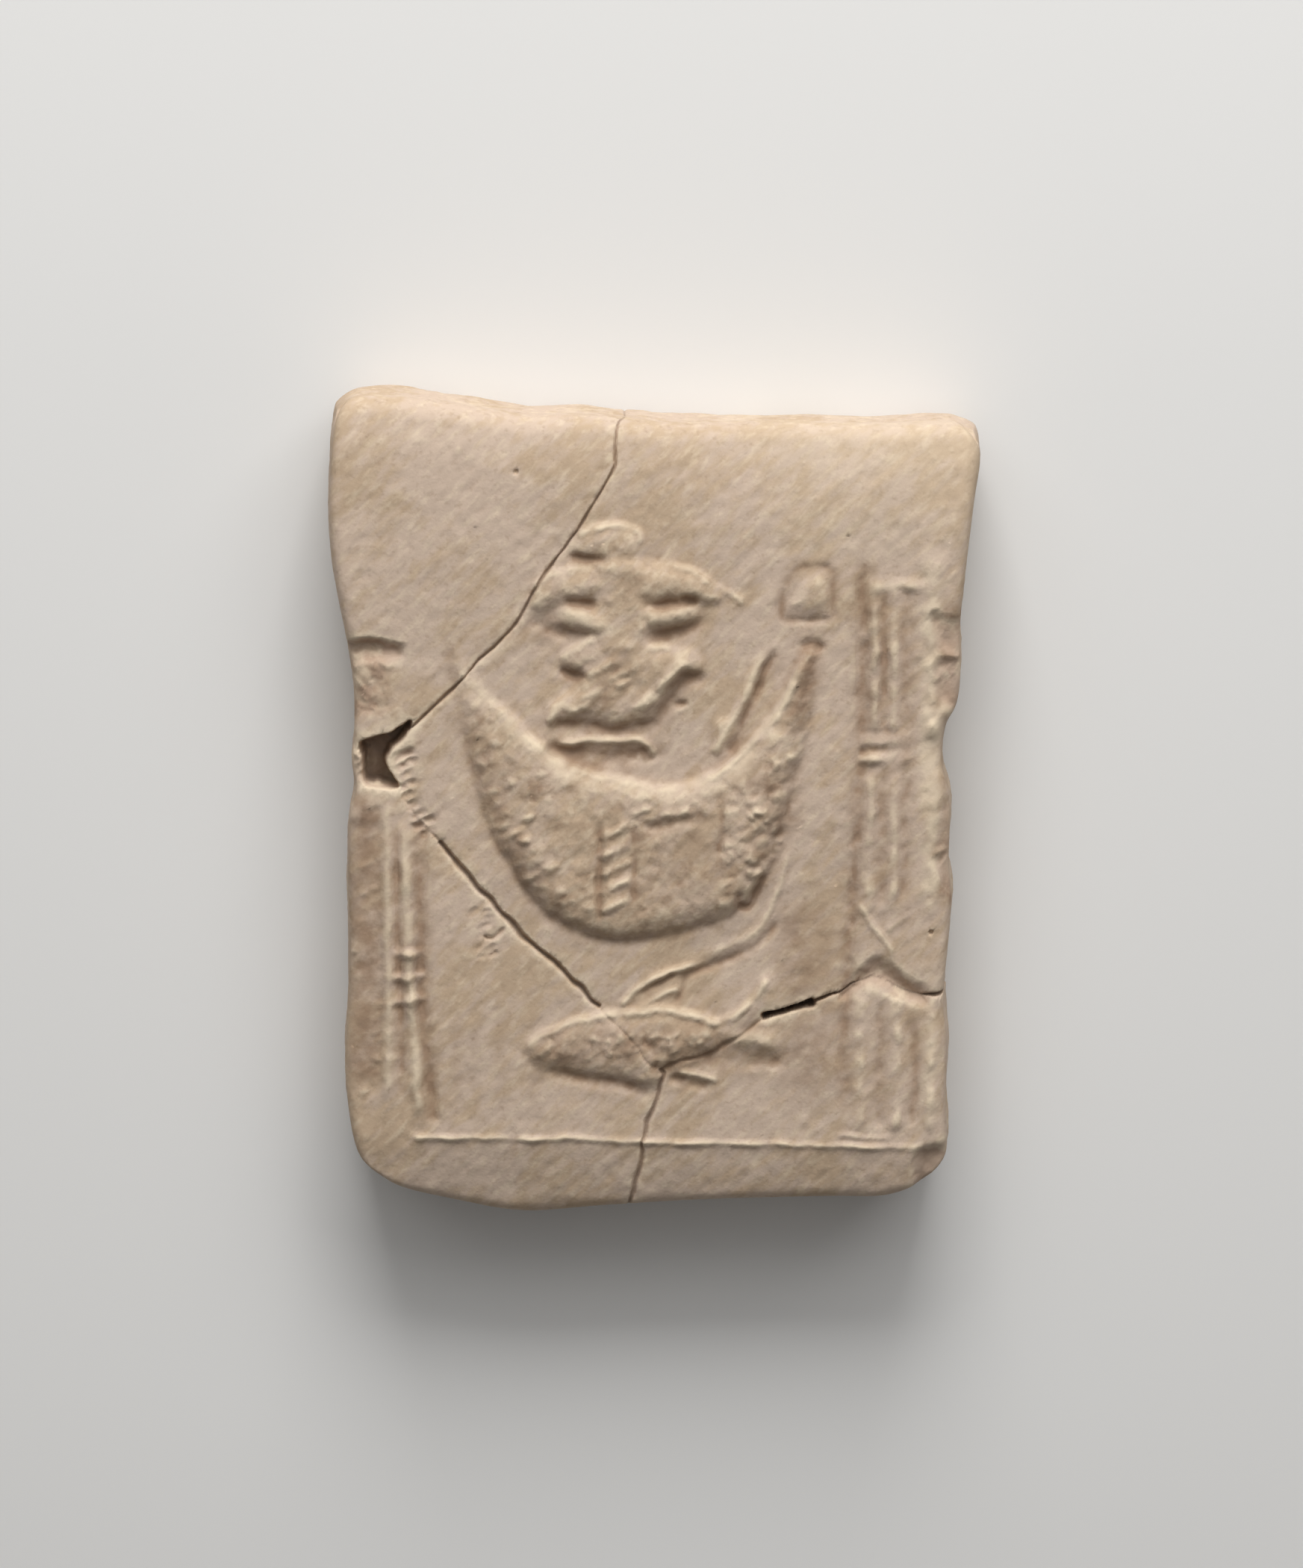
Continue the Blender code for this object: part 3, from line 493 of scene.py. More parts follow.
# %% Head and shoulders
face.dome((-4.9, 30.0), (4.2, 2.6), 0.5)
ridge([-8.9, 31.1, -7.1, 32, -4.3, 32.4, -1.8, 31.7, -1.1, 29.9], 1.3, 0.22)
groove([-10.3, 28.2, -9.3, 28.5, -8, 28.6, -6.4, 28.5, -4.9, 28.2], 1.4, 0.36, 0.35)
LEFT_SHOULDER = [
    -13.9, 23.4, -13.7, 24.5, -13, 25.8, -11.7, 26.8, -9.9, 27.4, -8, 27.7, -3.9, 27.6, -3.9, 23.1, -6.4,
    23.6, -9.9, 23.6, -11.8, 23.1, -13, 22.6]
RIGHT_SHOULDER = [
    -3.2, 27.7, 1.5, 28, 4, 27.4, 5.7, 26.6, 6.9, 25.4, 7.9, 24.1, 6.5, 23.6, 2.8, 23.6, 0.7, 23.4, -1.4,
    22.9, -3.2, 23.1]
for shoulder in (LEFT_SHOULDER, RIGHT_SHOULDER):
    pad(shoulder, 0.66, 2.4)
ridge([-13.7, 24.5, -12.4, 26.3, -9.9, 27.3, -6.3, 27.4], 1.4, 0.2, 0.15)
ridge([0.8, 28, 4, 27.4, 6.6, 25.7, 8.9, 24.4, 10.2, 23.4], 1.4, 0.2, 0.15)
print("head and shoulders pressed")

# %% Chest and folded forearms
CHEST = [-6.4, 28.4, -1.1, 28.5, -0.7, 24.1, -0.9, 15.3, -6.4, 15.3, -6.8, 19.9, -6.6, 24.1]
pad(CHEST, 0.66, 1.8)
groove([-10.3, 23.7, -9, 23.4, -7.6, 23.3, -6.1, 22.9], 1.7, 0.44, 0.3)
groove([-0.9, 22.9, 0.7, 23.2, 2.3, 23.4, 4, 23.8, 5.1, 24.3], 1.7, 0.42, 0.3)
for forearm in ([-11.5, 22.7, -9.9, 22.4, -8.4, 22, -6.8, 21.4, -5.1, 20.6, -3.7, 19.8],
                [-2.4, 21.6, -1, 21.8, 0.3, 22, 1.9, 22.4, 3.6, 22.8, 5.6, 23.1]):
    face.strip(face.form, forearm, 3.4, 0.8, 0.35, 1)
    face.strip(face.pale, forearm, 2.2, 0.5, 0.2)
groove([-14.2, 22.3, -13.4, 21.4, -11.8, 20.5, -9.9, 20.2, -7.7, 20], 2.2, 0.24, 0.3)
groove([-1.2, 19.2, 0.3, 19.7, 1.9, 20, 3.8, 20.7, 5.4, 21.6, 7.6, 22.1], 2.2, 0.22, 0.3)
print("forearms pressed")

# %% Robe, knees and foot
ROBE = [
    -7, 23.4, -1.2, 23.1, -0.4, 20.3, 0.3, 18.9, 2.4, 18.9, 4, 18.6, 5.3, 17.4, 4.8, 15.7, 3.2, 15.1, 1.8,
    13.6, 0.7, 11.7, -0.7, 10.2, -3.9, 9.7, -6.4, 10, -10, 10.7, -11.8, 9.8, -12, 11.1, -10.5, 12.8, -9.3,
    14.2, -8.9, 15.3, -9.9, 16.3, -10.7, 17, -9.9, 18.2, -8.2, 19.4, -7, 20.6]
pad(ROBE, 0.66, 2.6)
ridge([-10.7, 17.2, -9.3, 18.3, -6.4, 19.9], 1.6, 0.24)
ridge([-12.3, 10.2, -11.4, 11.5, -9.6, 13.6], 1.5, 0.24)
groove([-11.2, 15.9, -9.9, 15.7, -8.7, 15.5, -7.4, 16], 1.8, 0.46, 0.3)
ridge([-2.1, 11.7, -0.1, 13.2, 1.1, 14.7, 3.8, 17.4], 2.0, 0.3)
ridge([-1, 18.3, 0.7, 18.7, 2.1, 18.8], 1.4, 0.22, 0.3)
strew(17, 24, [-8.4, 11.5, -5.2, 14.5, -4.5, 18.5], 3.2, 1.1, 0.2, 1.1)
tint([-9.6, 11, -6.2, 13, -4.2, 16.6, -3, 20.6], 5.0, 0.34, 0.3)
for x, y in ((-8.2, 17.4), (-11.6, 25.2), (-2.2, 26.0), (2.4, 26.2), (-12.6, 18.6), (-14.6, 20.6)):
    tint(stroke(x, y, 1.4, 1.0), 2.6, 0.3, 0.45)
groove([-12.4, 9.4, -10, 9.9, -6.4, 9.3, -3.9, 9.1, -1.6, 9.3, 0.2, 10.2, 1.4, 11.8, 2.5, 13.6, 3.6, 14.8,
        4.9, 15, 5.9, 14.4], 2.4, 0.24, 0.08)
groove([1.7, 12.4, 2.8, 12.2, 3.9, 12.6], 1.2, 0.34, 0.3)
ridge([-11.7, 7.8, -7.1, 8.1, -3.8, 8.2, -1.7, 8.2, -0.6, 7.3, 0.4, 5.8], 1.3, 0.4)
groove([-12.2, 7.6, -11, 6.9, -9.3, 6.5, -4.7, 6.1, -0.7, 6.4, 0.2, 5.6], 2.7, 0.32)
print("robe and seat pressed")

# %% [markdown]
# ## The fish and its line
#
# Under the hull swims a stout fish, hooked on a line that curves down from the boat's right side.
# Its scales are worn to a few random dashes, so they are strewn at random along its flank.

# %% Fish, fins and line
FISH_BACK = [
    -14.7, -26.8, -13.2, -25.4, -11.7, -24.7, -8.8, -23.5, -5.8, -22.9, -2.8, -22.4, 0.3, -22.3, 2.5, -22.6,
    4.9, -23, 7.2, -23.7]
FISH_BELLY = [
    8, -25.3, 6.6, -27.3, 4.1, -28.7, 2, -30, 0.1, -31.4, -3.8, -30.5, -8.8, -29.7, -12.6, -29.2, -14,
    -28.1]
UPPER_TAIL = [
    4.9, -23.2, 6.8, -23.9, 8.7, -23.1, 10.3, -21.9, 11.8, -20.2, 12.9, -18, 13.9, -19.4, 13.5, -21.6, 11.6,
    -23.4, 9.5, -25, 6.4, -26.2]
pad(FISH_BACK + FISH_BELLY, 0.56, 2.8)
pad(UPPER_TAIL, 0.22, 1.6)
ridge(lower_by(FISH_BACK, 0.2), 1.5, 0.3, 0.06)
ridge([5.1, -23.1, 6.8, -23.9, 8.7, -23.2, 10.3, -22, 11.8, -20.4, 12.8, -18.5], 1.5, 0.38)
ridge([7, -26, 9.5, -25.7, 12, -25.9, 15, -26.6], 2.8, 0.3, 0.3)
ridge([2.4, -29.7, 4.9, -29.9, 7.3, -30.5], 1.1, 0.22)
groove([4.5, -27.8, 7.4, -28.2, 11.2, -28.4, 15.5, -28.5], 2.8, 0.22, 0.2)
groove([1.1, -30, 3.6, -30.9, 6.3, -31.4], 1.8, 0.24)
groove([-12.6, -29.5, -9, -30.2, -5, -31, 0.1, -32.1], 2.2, 0.22)
groove([-0.6, -28.5, 0.7, -29.2, 2.4, -28.6], 2.2, 0.4, 0.3)
groove([-11.8, -25.4, -11.3, -26.6, -11.6, -27.9], 0.8, 0.2)
groove([-1.6, -25.9, -0.4, -26.6, 0.3, -27.6], 1.6, 0.25)
tint([-14.8, -27.4, -8, -26.6, -2.5, -26.4, 3.5, -26, 7, -25.6], 6.0, 0.46, 0.06)
tint([0.9, -29.2, 5.2, -27.8, 8.4, -26.2, 12.6, -23.4], 2.8, 0.55)
strew(5, 120, [-12.2, -27, -6, -26.6, 0, -26.4, 6, -26], 2.4, 0.35, 0.17, 0.7)
ridge([15.5, -2.8, 14.5, -6.2, 13.5, -10, 11.6, -13.4, 8, -15.4, 4.5, -16.8], 1.1, 0.2, 0.3)
ridge([5.5, -16.9, 1.4, -18.4, -0.9, -19.5, -2.7, -20.9, -3.9, -22.5], 1.2, 0.34, 0.15)
groove([14.2, -12.1, 12, -14.8, 8.2, -16.8, 4.5, -18.3, 2.4, -19.3], 1.4, 0.24)
groove([2.4, -18.5, 0.2, -19.6, -1.6, -21], 0.9, 0.2)
ridge([-2.1, -22.3, -0.4, -21.6, 1.3, -20.7, 2.8, -20], 1.0, 0.22)
groove([3.9, -17.9, 3.1, -19.8, 2.3, -21.9], 0.9, 0.22)
print("fish pressed")

# %% [markdown]
# ## Columns and base line
#
# At each side stands a column of bound reeds. Here only its inner edge and the lines that don't
# repeat are drawn: the straight stems and their ties come from the node tree below. A long low
# ridge under everything is the ground line.

# %% Column edges and base line
INNER_EDGE = [23.1, 29.6, 23.2, 19.1, 22.9, 2.3, 22.5, -5.3, 22, -12.1, 21.4, -21.8, 21.2, -36]
LEFT_EDGE = [-26.2, -0.3, -26.3, -9.6, -26, -20.7, -25.2, -30.9, -24.9, -35.6]
for edge in (INNER_EDGE, LEFT_EDGE):
    groove(edge, 2.0, 0.24, 0.06)
    tint(edge, 2.8, 0.46, 0.06)
tint([23.6, 29, 23.6, 9], 2.8, 0.54, 0.08)
for x in (-22.6, -20.4, -17.6, -13.8):
    tint([x, -21.0, x + 0.4, -35.5], 1.5, 0.22, 0.3)
for stripe in ([25.6, 25.6, 25.6, 9.8], [28.2, 25.6, 28.1, 4, 27.8, -14.6], [25.5, 3.5, 25.4, -11.2],
               [25.3, -22.3, 25.2, -35.2], [29.3, -22.3, 29.2, -35.2], [33.2, 14, 33, 2],
               [23.4, 4.2, 28.2, 4.4], [23.4, 9, 28.2, 9.3], [-28.9, -1, -28.6, -34]):
    tint(stripe, 2.4, 0.36, 0.1)
tint([-32.2, 2.6, -32.4, -12, -32.4, -32], 5.4, 0.6, 0.06)
strew(61, 70, [-31.8, 0.5, -31.8, -18, -31.4, -34], 2.6, 0.7, 0.1, 0.8)
for stem in ([30.9, 29, 30.9, 8, 30.6, -12], [31.2, -23, 31.2, -36]):
    face.strip(face.pale, stem, 3.8, 0.75, 0.06)
ridge([23.5, 25.3, 26.4, 25.4, 30, 25.8], 2.4, 0.2, 0.25)
ridge([22.9, -10.3, 24.7, -13, 26.9, -16.5], 1.0, 0.22)
ridge([28.7, -11.5, 27, -12.6, 25.8, -13.5], 1.0, 0.16)
ridge([-27.9, -0.7, -27.8, -9.6, -27.4, -20.7, -26.9, -28.3, -26.6, -35.2], 2.0, 0.28, 0.07)
ridge([-30.1, 1.4, -30, -9.6, -30, -34.3], 1.8, 0.24, 0.08)
groove([-28.9, -1.1, -28.9, -9.6, -28.4, -34.3], 1.1, 0.22)
ridge([-27.3, -37.1, -19.9, -37.2, -6.9, -37.3, -0.9, -37.7, 10.4, -37.9, 30.7, -38.3], 1.0, 0.26, 0.02)
ridge([20.3, -37.1, 23.4, -37, 26.8, -37.2], 0.8, 0.16)
print("columns and base line pressed")

# %% [markdown]
# ## Rows pressed by Geometry Nodes
#
# Reed stems, ties, lashings and matting are rows: the same strip again and again at an even step.
# A node tree repeats them. It lays a line of points, puts a strip's middle line on each, makes them
# wander a little, and lifts every place of the sheet by its distance from the nearest one. Beads
# along a strip, as on plaited matting, are a wave in the distance along it.

# %% Node helpers
def feed(socket, value):
    """Link a socket's value, or write a constant."""
    if isinstance(value, bpy.types.NodeSocket):
        socket.id_data.links.new(value, socket)
    else:
        socket.default_value = value


def add_node(tree, kind, settings=None, **values):
    """A node with its settings, and its inputs fed by name."""
    node = tree.nodes.new(kind)
    for key, value in (settings or {}).items():
        setattr(node, key, value)
    for title, value in values.items():
        feed(node.inputs[title.replace("_", " ")], value)
    return node


def calculate(operation, *values, kind="ShaderNodeMath", result=0):
    """One step of arithmetic on sockets and numbers, in the tree of the sockets."""
    tree = next(value.id_data for value in values if isinstance(value, bpy.types.NodeSocket))
    node = add_node(tree, kind, {"operation": operation})
    for socket, value in zip(node.inputs, values):
        feed(socket, value)
    return node.outputs[result]


def times(*values):
    """A product."""
    return calculate("MULTIPLY", *values)


def plus(*values):
    """A sum."""
    return calculate("ADD", *values)


def on_vectors(operation, *values, result="Vector"):
    """One step of arithmetic on directions."""
    return calculate(operation, *values, kind="ShaderNodeVectorMath", result=result)


print("node helpers ready")

# %% The tree of pressed rows
ROW_INPUTS = {"Sheet": "Geometry", "Start": "Vector", "End": "Vector", "Step": "Vector", "Count": "Int",
              "Width": "Float", "Height": "Float", "Wander": "Float", "Shorten": "Float",
              "Bead Length": "Float", "Bead Share": "Float", "Clay": "Material"}
STRIP_POINTS = 24
SWAY_SCALE = 0.45
BEAD_SLIP = 34.0
rows_tree = bpy.data.node_groups.new("pressed_rows", "GeometryNodeTree")
for title, kind in ROW_INPUTS.items():
    rows_tree.interface.new_socket(title, in_out="INPUT", socket_type="NodeSocket" + kind)
rows_tree.interface.new_socket("Sheet", in_out="OUTPUT", socket_type="NodeSocketGeometry")
given = rows_tree.nodes.new("NodeGroupInput").outputs

# A line of starts, a strip's middle line on each, and a wander for all of them
span = on_vectors("SUBTRACT", given["End"], given["Start"])
starts = add_node(rows_tree, "GeometryNodeMeshLine", {"mode": "OFFSET"}, Count=given["Count"],
                  Start_Location=given["Start"], Offset=given["Step"])
strip_line = add_node(rows_tree, "GeometryNodeMeshLine", {"mode": "END_POINTS"}, Count=STRIP_POINTS,
                      Start_Location=(0, 0, 0), Offset=span)
row_index = rows_tree.nodes.new("GeometryNodeInputIndex").outputs[0]
row_length = calculate("SUBTRACT", 1.0, times(row_index, given["Shorten"]))
strips = add_node(rows_tree, "GeometryNodeInstanceOnPoints", Points=starts.outputs[0],
                  Instance=strip_line.outputs[0], Scale=row_length)
lines = add_node(rows_tree, "GeometryNodeRealizeInstances", Geometry=strips.outputs[0])
sway = add_node(rows_tree, "ShaderNodeTexNoise", Scale=SWAY_SCALE)
sway_way = on_vectors("SUBTRACT", sway.outputs["Color"], (0.5, 0.5, 0.5))
sway_flat = on_vectors("MULTIPLY", sway_way, (1, 1, 0))
wandered = add_node(rows_tree, "GeometryNodeSetPosition", Geometry=lines.outputs[0],
                    Offset=on_vectors("MULTIPLY", sway_flat, given["Wander"]))

# A rounded rise near those lines
place = rows_tree.nodes.new("GeometryNodeInputPosition").outputs[0]
proximity = add_node(rows_tree, "GeometryNodeProximity", {"target_element": "EDGES"},
                     Sample_Position=on_vectors("MULTIPLY", place, (1, 1, 0)))
feed(proximity.inputs[0], wandered.outputs[0])
nearest = proximity.outputs["Position"]
share = calculate("DIVIDE", times(proximity.outputs["Distance"], 2.0), given["Width"])
across = calculate("MAXIMUM", calculate("SUBTRACT", 1.0, calculate("POWER", share, 2.0)), 0.0)
rise = times(calculate("POWER", across, 2.0), given["Height"])

# Beads: a wave in the distance along the strip, out of step from row to row
along = on_vectors("DOT_PRODUCT", on_vectors("NORMALIZE", span), nearest, result="Value")
beads = calculate("DIVIDE", times(along, 2 * math.pi), given["Bead Length"])
slip = add_node(rows_tree, "ShaderNodeTexNoise", Vector=nearest, Scale=0.5).outputs["Fac"]
wave = calculate("COSINE", plus(beads, times(slip, BEAD_SLIP)))
dip = times(plus(wave, 1.0), times(given["Bead Share"], 0.5))
beaded = times(rise, calculate("SUBTRACT", 1.0, dip))

offset = add_node(rows_tree, "ShaderNodeCombineXYZ", Z=beaded)
lifted = add_node(rows_tree, "GeometryNodeSetPosition", Geometry=given["Sheet"], Offset=offset.outputs[0])
whole = add_node(rows_tree, "GeometryNodeRealizeInstances", Geometry=lifted.outputs[0])
dressed = add_node(rows_tree, "GeometryNodeSetMaterial", Geometry=whole.outputs[0], Material=given["Clay"])
feed(rows_tree.nodes.new("NodeGroupOutput").inputs[0], dressed.outputs[0])
print("tree of rows with", len(rows_tree.nodes), "nodes")

# %% [markdown]
# The tree works on a copy of the sheet, one modifier for each group of rows. What comes back is
# only the height of each place, which joins the other pressed forms before wear is applied.

# %% Press with a tree
fired_clay = bpy.data.materials.new("fired_clay_worn")


def worked_out(thing):
    """The mesh of an object after its modifiers; the object and its first mesh are removed."""
    first = thing.data
    mesh = bpy.data.meshes.new_from_object(thing.evaluated_get(bpy.context.evaluated_depsgraph_get()))
    bpy.data.objects.remove(thing)
    bpy.data.meshes.remove(first)
    return mesh


def row_group(x, y, end_x, end_y, step_x, step_y, count, width, height, wander=0.3, shorten=0.0,
              bead=1.0, bead_share=0.0):
    """The inputs of one group of rows, in sheet millimetres."""
    return {"Start": (x, y, 0.0), "End": (end_x, end_y, 0.0), "Step": (step_x, step_y, 0.0),
            "Count": count, "Width": width, "Height": height, "Wander": wander,
            "Shorten": shorten, "Bead Length": bead, "Bead Share": bead_share}


def press_with(tree, groups):
    """The heights that a node tree gives the sheet, with one modifier for each group of rows."""
    mesh = bpy.data.meshes.new("sheet")
    mesh.vertices.add(len(X))
    mesh.vertices.foreach_set("co", np.stack([face.x, face.y, np.zeros(len(X))], axis=1).ravel())
    sheet = in_scene("sheet", mesh)
    sockets = {item.name: item.identifier for item in tree.interface.items_tree if item.in_out == "INPUT"}
    for number, group in enumerate(groups):
        modifier = sheet.modifiers.new(f"press {number}", "NODES")
        modifier.node_group = tree
        modifier[sockets["Clay"]] = fired_clay
        for title, value in row_group(*group).items():
            modifier[sockets[title]] = value
    pressed = worked_out(sheet)
    places = np.zeros(3 * len(X))
    pressed.vertices.foreach_get("co", places)
    bpy.data.meshes.remove(pressed)
    return places[2::3]


print("ready to press the rows")

# %% Stems, ties, lashings and matting
# Start, end and step (x and y each), count, width and height of each group
ROW_GROUPS = [
    # Right column, upper stretch: two stems, a broad one, and the grooves between
    (24.6, 24.1, 24.6, 9.7, 2.2, 0.0, 2, 1.8, 0.24),
    (30.8, 28.1, 30.8, 9.7, 0.0, 0.0, 1, 4.4, 0.3),
    (25.6, 24.6, 25.6, 9.8, 2.4, 0.0, 2, 1.6, -0.16),
    # Its ties
    (23.3, 8.0, 28.0, 8.2, 0.0, 0.0, 1, 1.5, 0.12),
    (23.1, 5.8, 28.2, 6.1, 0.0, 0.0, 1, 1.4, 0.22),
    (23.2, 9.1, 28.2, 9.3, 0.0, -2.2, 2, 1.2, -0.14),
    (23.2, 4.5, 28.2, 4.7, 0.0, 0.0, 1, 1.8, -0.16),
    # Middle stretch
    (24.2, 3.8, 24.1, -10.6, 2.6, 0.0, 2, 1.8, 0.2),
    (31.1, 3.8, 30.9, -10.6, 0.0, 0.0, 1, 3.6, 0.24),
    (25.5, 3.5, 25.4, -10.0, 2.6, 0.0, 2, 1.7, -0.14),
    # Lower stretch
    (23.2, -21.9, 23.1, -35.6, 4.0, 0.0, 3, 2.2, 0.24),
    (25.4, -22.3, 25.3, -35.2, 3.9, 0.0, 2, 1.6, -0.18),
    # Left column's ties
    (-28.9, -16.3, -26.1, -16.0, 0.0, -2.6, 3, 1.5, 0.22),
    (-31.5, -18.9, -28.9, -18.7, 0.0, -3.1, 4, 1.2, 0.12),
    # The lashing amidships
    (-5.8, -2.7, -3.2, -1.4, 0.0, -2.05, 5, 1.4, 0.28, 0.9),
    # Plaited matting on the right of the hull, which wanders, shortens and has beads
    (8.3, 1.7, 15.4, 6.2, -0.08, -1.75, 8, 1.7, 0.24, 2.6, 0.03, 1.9, 0.7),
]
rows = press_with(rows_tree, ROW_GROUPS)
rows = rows * np.clip(0.85 + 0.5 * rough(X, Y, 2.2, 37), 0.1, 1.4)
face.line = face.line + rows
print("groups of rows pressed", len(ROW_GROUPS))

# %% [markdown]
# ## Wear, the ground's fall and the skin
#
# Handling has rubbed the relief down by uneven amounts and blurred it. The ground isn't level
# either: it rolls back at the head and slopes off below the base line. Over all lies the clay's
# own skin, with broad hollows from the hand and fine drag marks that rise to the right. The marks
# are noise stretched along the diagonal.

# %% Wear
RELIEF = 1.5
FORM_RUBS = 6
LINE_RUBS = 3
wear = np.clip(0.9 + 0.32 * rough(X, Y, 3.6, 31) + 0.3 * rough(X, Y, 1.5, 33), 0.15, 1.5)
flank_worn = 1.0 - 0.4 * smooth((-13.5 - X) / 4.0) * smooth((Y + 7.0) / 8.0)
horn_worn = flank_worn - 0.3 * smooth((-14.5 - X) / 4.5) * smooth((Y - 8.0) / 6.0)


def rubbed(heights, times):
    """Even out heights on the grid, each place with its neighbours."""
    heights = heights.reshape(GRID)
    for _ in range(times):
        for axis in (0, 1):
            heights = 0.25 * np.roll(heights, 1, axis) + 0.5 * heights + 0.25 * np.roll(heights, -1, axis)
    return heights.ravel()


raised = rubbed(face.form, FORM_RUBS)
crumbled = 0.085 * rough(X, Y, 1.7, 35) + 0.045 * rough(X, Y, 0.8, 38)
pressed = raised + rubbed((face.line - face.furrow) * wear, LINE_RUBS)
worn = RELIEF * pressed * horn_worn + crumbled * smooth(raised / 0.4)
print("relief from", worn.min().round(2), "to", worn.max().round(2), "mm")

# %% Skin of the clay
drag = (X + Y) * math.sqrt(0.5)
cross = (Y - X) * math.sqrt(0.5)
smear = 0.045 * rough(drag / 3.2, cross, 1.3, 51) + 0.022 * rough(drag / 3.5, cross, 0.55, 55)
hand = 0.22 * noise(X, Y, 14.0, 41) + 0.1 * noise(X, Y, 6.0, 42)
skin = hand + smear + 0.045 * rough(X, Y, 1.1, 61)
print("skin from", skin.min().round(2), "to", skin.max().round(2), "mm")

# %% The ground's fall
FOOT_DEPTH = 1.9
FOOT_TOP = -37.5
FOOT_LENGTH = 9.3
to_right = smooth((X + 4.0) / 16.0)
below_head = np.interp(X, TOP_SIDE[::2], TOP_SIDE[1::2]) - Y
roll = (2.0 + 0.9 * to_right) * clamp(1.0 - below_head / (9.0 + 4.5 * to_right)) ** 2.4
foot = clamp((FOOT_TOP - 0.02 * X - Y) / FOOT_LENGTH)
worn_left = 0.25 * smooth((-29.5 - X) / 2.0) * smooth((-0.5 - Y) / 1.5)
ground = -roll - FOOT_DEPTH * foot ** 1.3 - worn_left
print("ground falls to", ground.min().round(2), "mm")

# %% [markdown]
# ## Damage
#
# Damage is cut last and isn't rubbed. At the left a piece is missing where two breaks meet, and a
# flake has come off above it. The right edge is chipped in slanting facets. The breaks themselves
# are dark, narrow and ragged, with a low bright lip where the joined clay stands a hair apart.

# %% Losses
CHIP_SEED = 3
GAP = [
    -32.7, 7.7, -31.4, 8.2, -29.7, 8.6, -28.4, 9.3, -27.3, 10, -28, 8.6, -29.5, 7.1, -30.2, 6, -30, 4.8,
    -29.4, 3.9, -28.9, 2.9, -31, 3.1, -32.4, 3.4, -32.5, 5.6]
face.patch(GAP, 5.0, 0.8)
face.patch([-36.5, 8.6, -32.5, 8.2, -32.3, 3.4, -36.5, 3.1], 0.5, 0.9)
face.notch([-38.3, 18.9, -36.3, 19.2, -33.9, 19.7, -32.1, 19.9, -30, 19.7, -27, 19.2],
           [-38.4, 9.6, -33.8, 10, -31.3, 10.4, -27.2, 11.5], 1.7, 0.35)
HOLLOW_BY_BREAK = [
    21.1, -20.8, 22.5, -18.9, 23.9, -17.9, 25.2, -17.1, 26.6, -17.9, 28.2, -19.3, 30.4, -20.3, 30.4, -21.5,
    27.8, -21, 24.7, -19.4, 22.2, -20.3]
face.patch(HOLLOW_BY_BREAK, 1.1, 2.0)
for chip, depth in (([31, 22.4, 33.2, 21.8, 39, 22.4, 39, 17.6, 32.6, 17.8, 31, 19.8], 0.6),
                    ([32, 17.2, 39, 17.4, 39, 11.4, 32.6, 11.8, 31.2, 14.8], 0.75),
                    ([32.9, 1.8, 39, 2.4, 39, -3.6, 32.2, -4.4, 31.6, -2.4], 0.45),
                    ([32.4, -4.6, 39, -3.8, 39, -10, 33.2, -9.4, 31.9, -7], 0.55)):
    face.patch(chip, depth, 1.5)
    tint(chip, 3.4, 0.75)
# Painted highlights: pale strips along the rims of the chips, where their walls rise back towards the lamps.
for rim_of_chip in ([33.6, 18.6, 35.2, 17.4], [31.2, 13, 32.6, 11.6, 34.6, 11.2], [32.6, -5, 33.6, -8.8]):
    face.strip(face.pale, rim_of_chip, 1.6, 1.0, 0.2)
face.patch([29.7, -39.6, 32.4, -38.3, 38, -37.5, 38, -46, 30.6, -46], 1.2, 1.8)
tint([-33.6, 18.6, -33, 15, -32, 10], 7.5, 0.85, 0.15)
for x, y in ((-33.6, 17.4), (-32.2, 15.9), (-33.9, 15.2), (-33.2, 13.0)):
    face.strip(face.pale, [x - 1.8, y + 1.2, x + 1.6, y - 1.2], 1.1, 0.9, 0.3)
chip_rng = np.random.default_rng(CHIP_SEED)
for share, beside, half, depth in chip_rng.uniform((0.0, -1.2, 0.4, 0.1), (1.0, 1.2, 0.9, 0.24), (18, 4)):
    x = -19.8 + 1.5 * share + beside
    y = -10.6 - 5.8 * share + 0.4 * beside
    face.strip(face.loss, stroke(x, y, half, 0.7 * half), 1.1, depth, 0.4)
for share, size in zip(np.linspace(0.0, 1.0, 9), chip_rng.uniform(0.6, 1.1, 9)):
    x = np.interp(share, (0.0, 0.5, 1.0), (-28.3, -27.5, -25.6))
    y = 6.2 - 8.5 * share
    flake = [x - 1.4 * size, y - 0.8 * size, x, y, x + 1.9 * size, y + 1.1 * size]
    face.strip(face.loss, flake, 1.5, 0.44 * size, 0.4)
face.strip(face.loss, [-19.6, -13.7, -18.5, -14.3, -17.4, -13.7, -16.8, -13], 0.7, 0.35, fade=0.3)
for x, y in ((-15.4, 38.1), (31.0, -13.7)):
    pit = 0.5 * clamp(1.0 - ((face.x - x) ** 2 + (face.y - y) ** 2) / 0.12)
    face.loss[:] = np.maximum(face.loss, pit)
broken = smooth(face.loss / 0.6)
facets = 0.6 * np.abs(noise(0.6 * (X - Y), X + Y, 2.6, 111)) + 0.28 * np.abs(noise(X - Y, X + Y, 1.2, 112))
face.loss[:] = face.loss + broken * (facets - 0.34) * np.where(X > 0, 0.4, 1.0)
print("places lost", int((face.loss > 0.3).sum()))

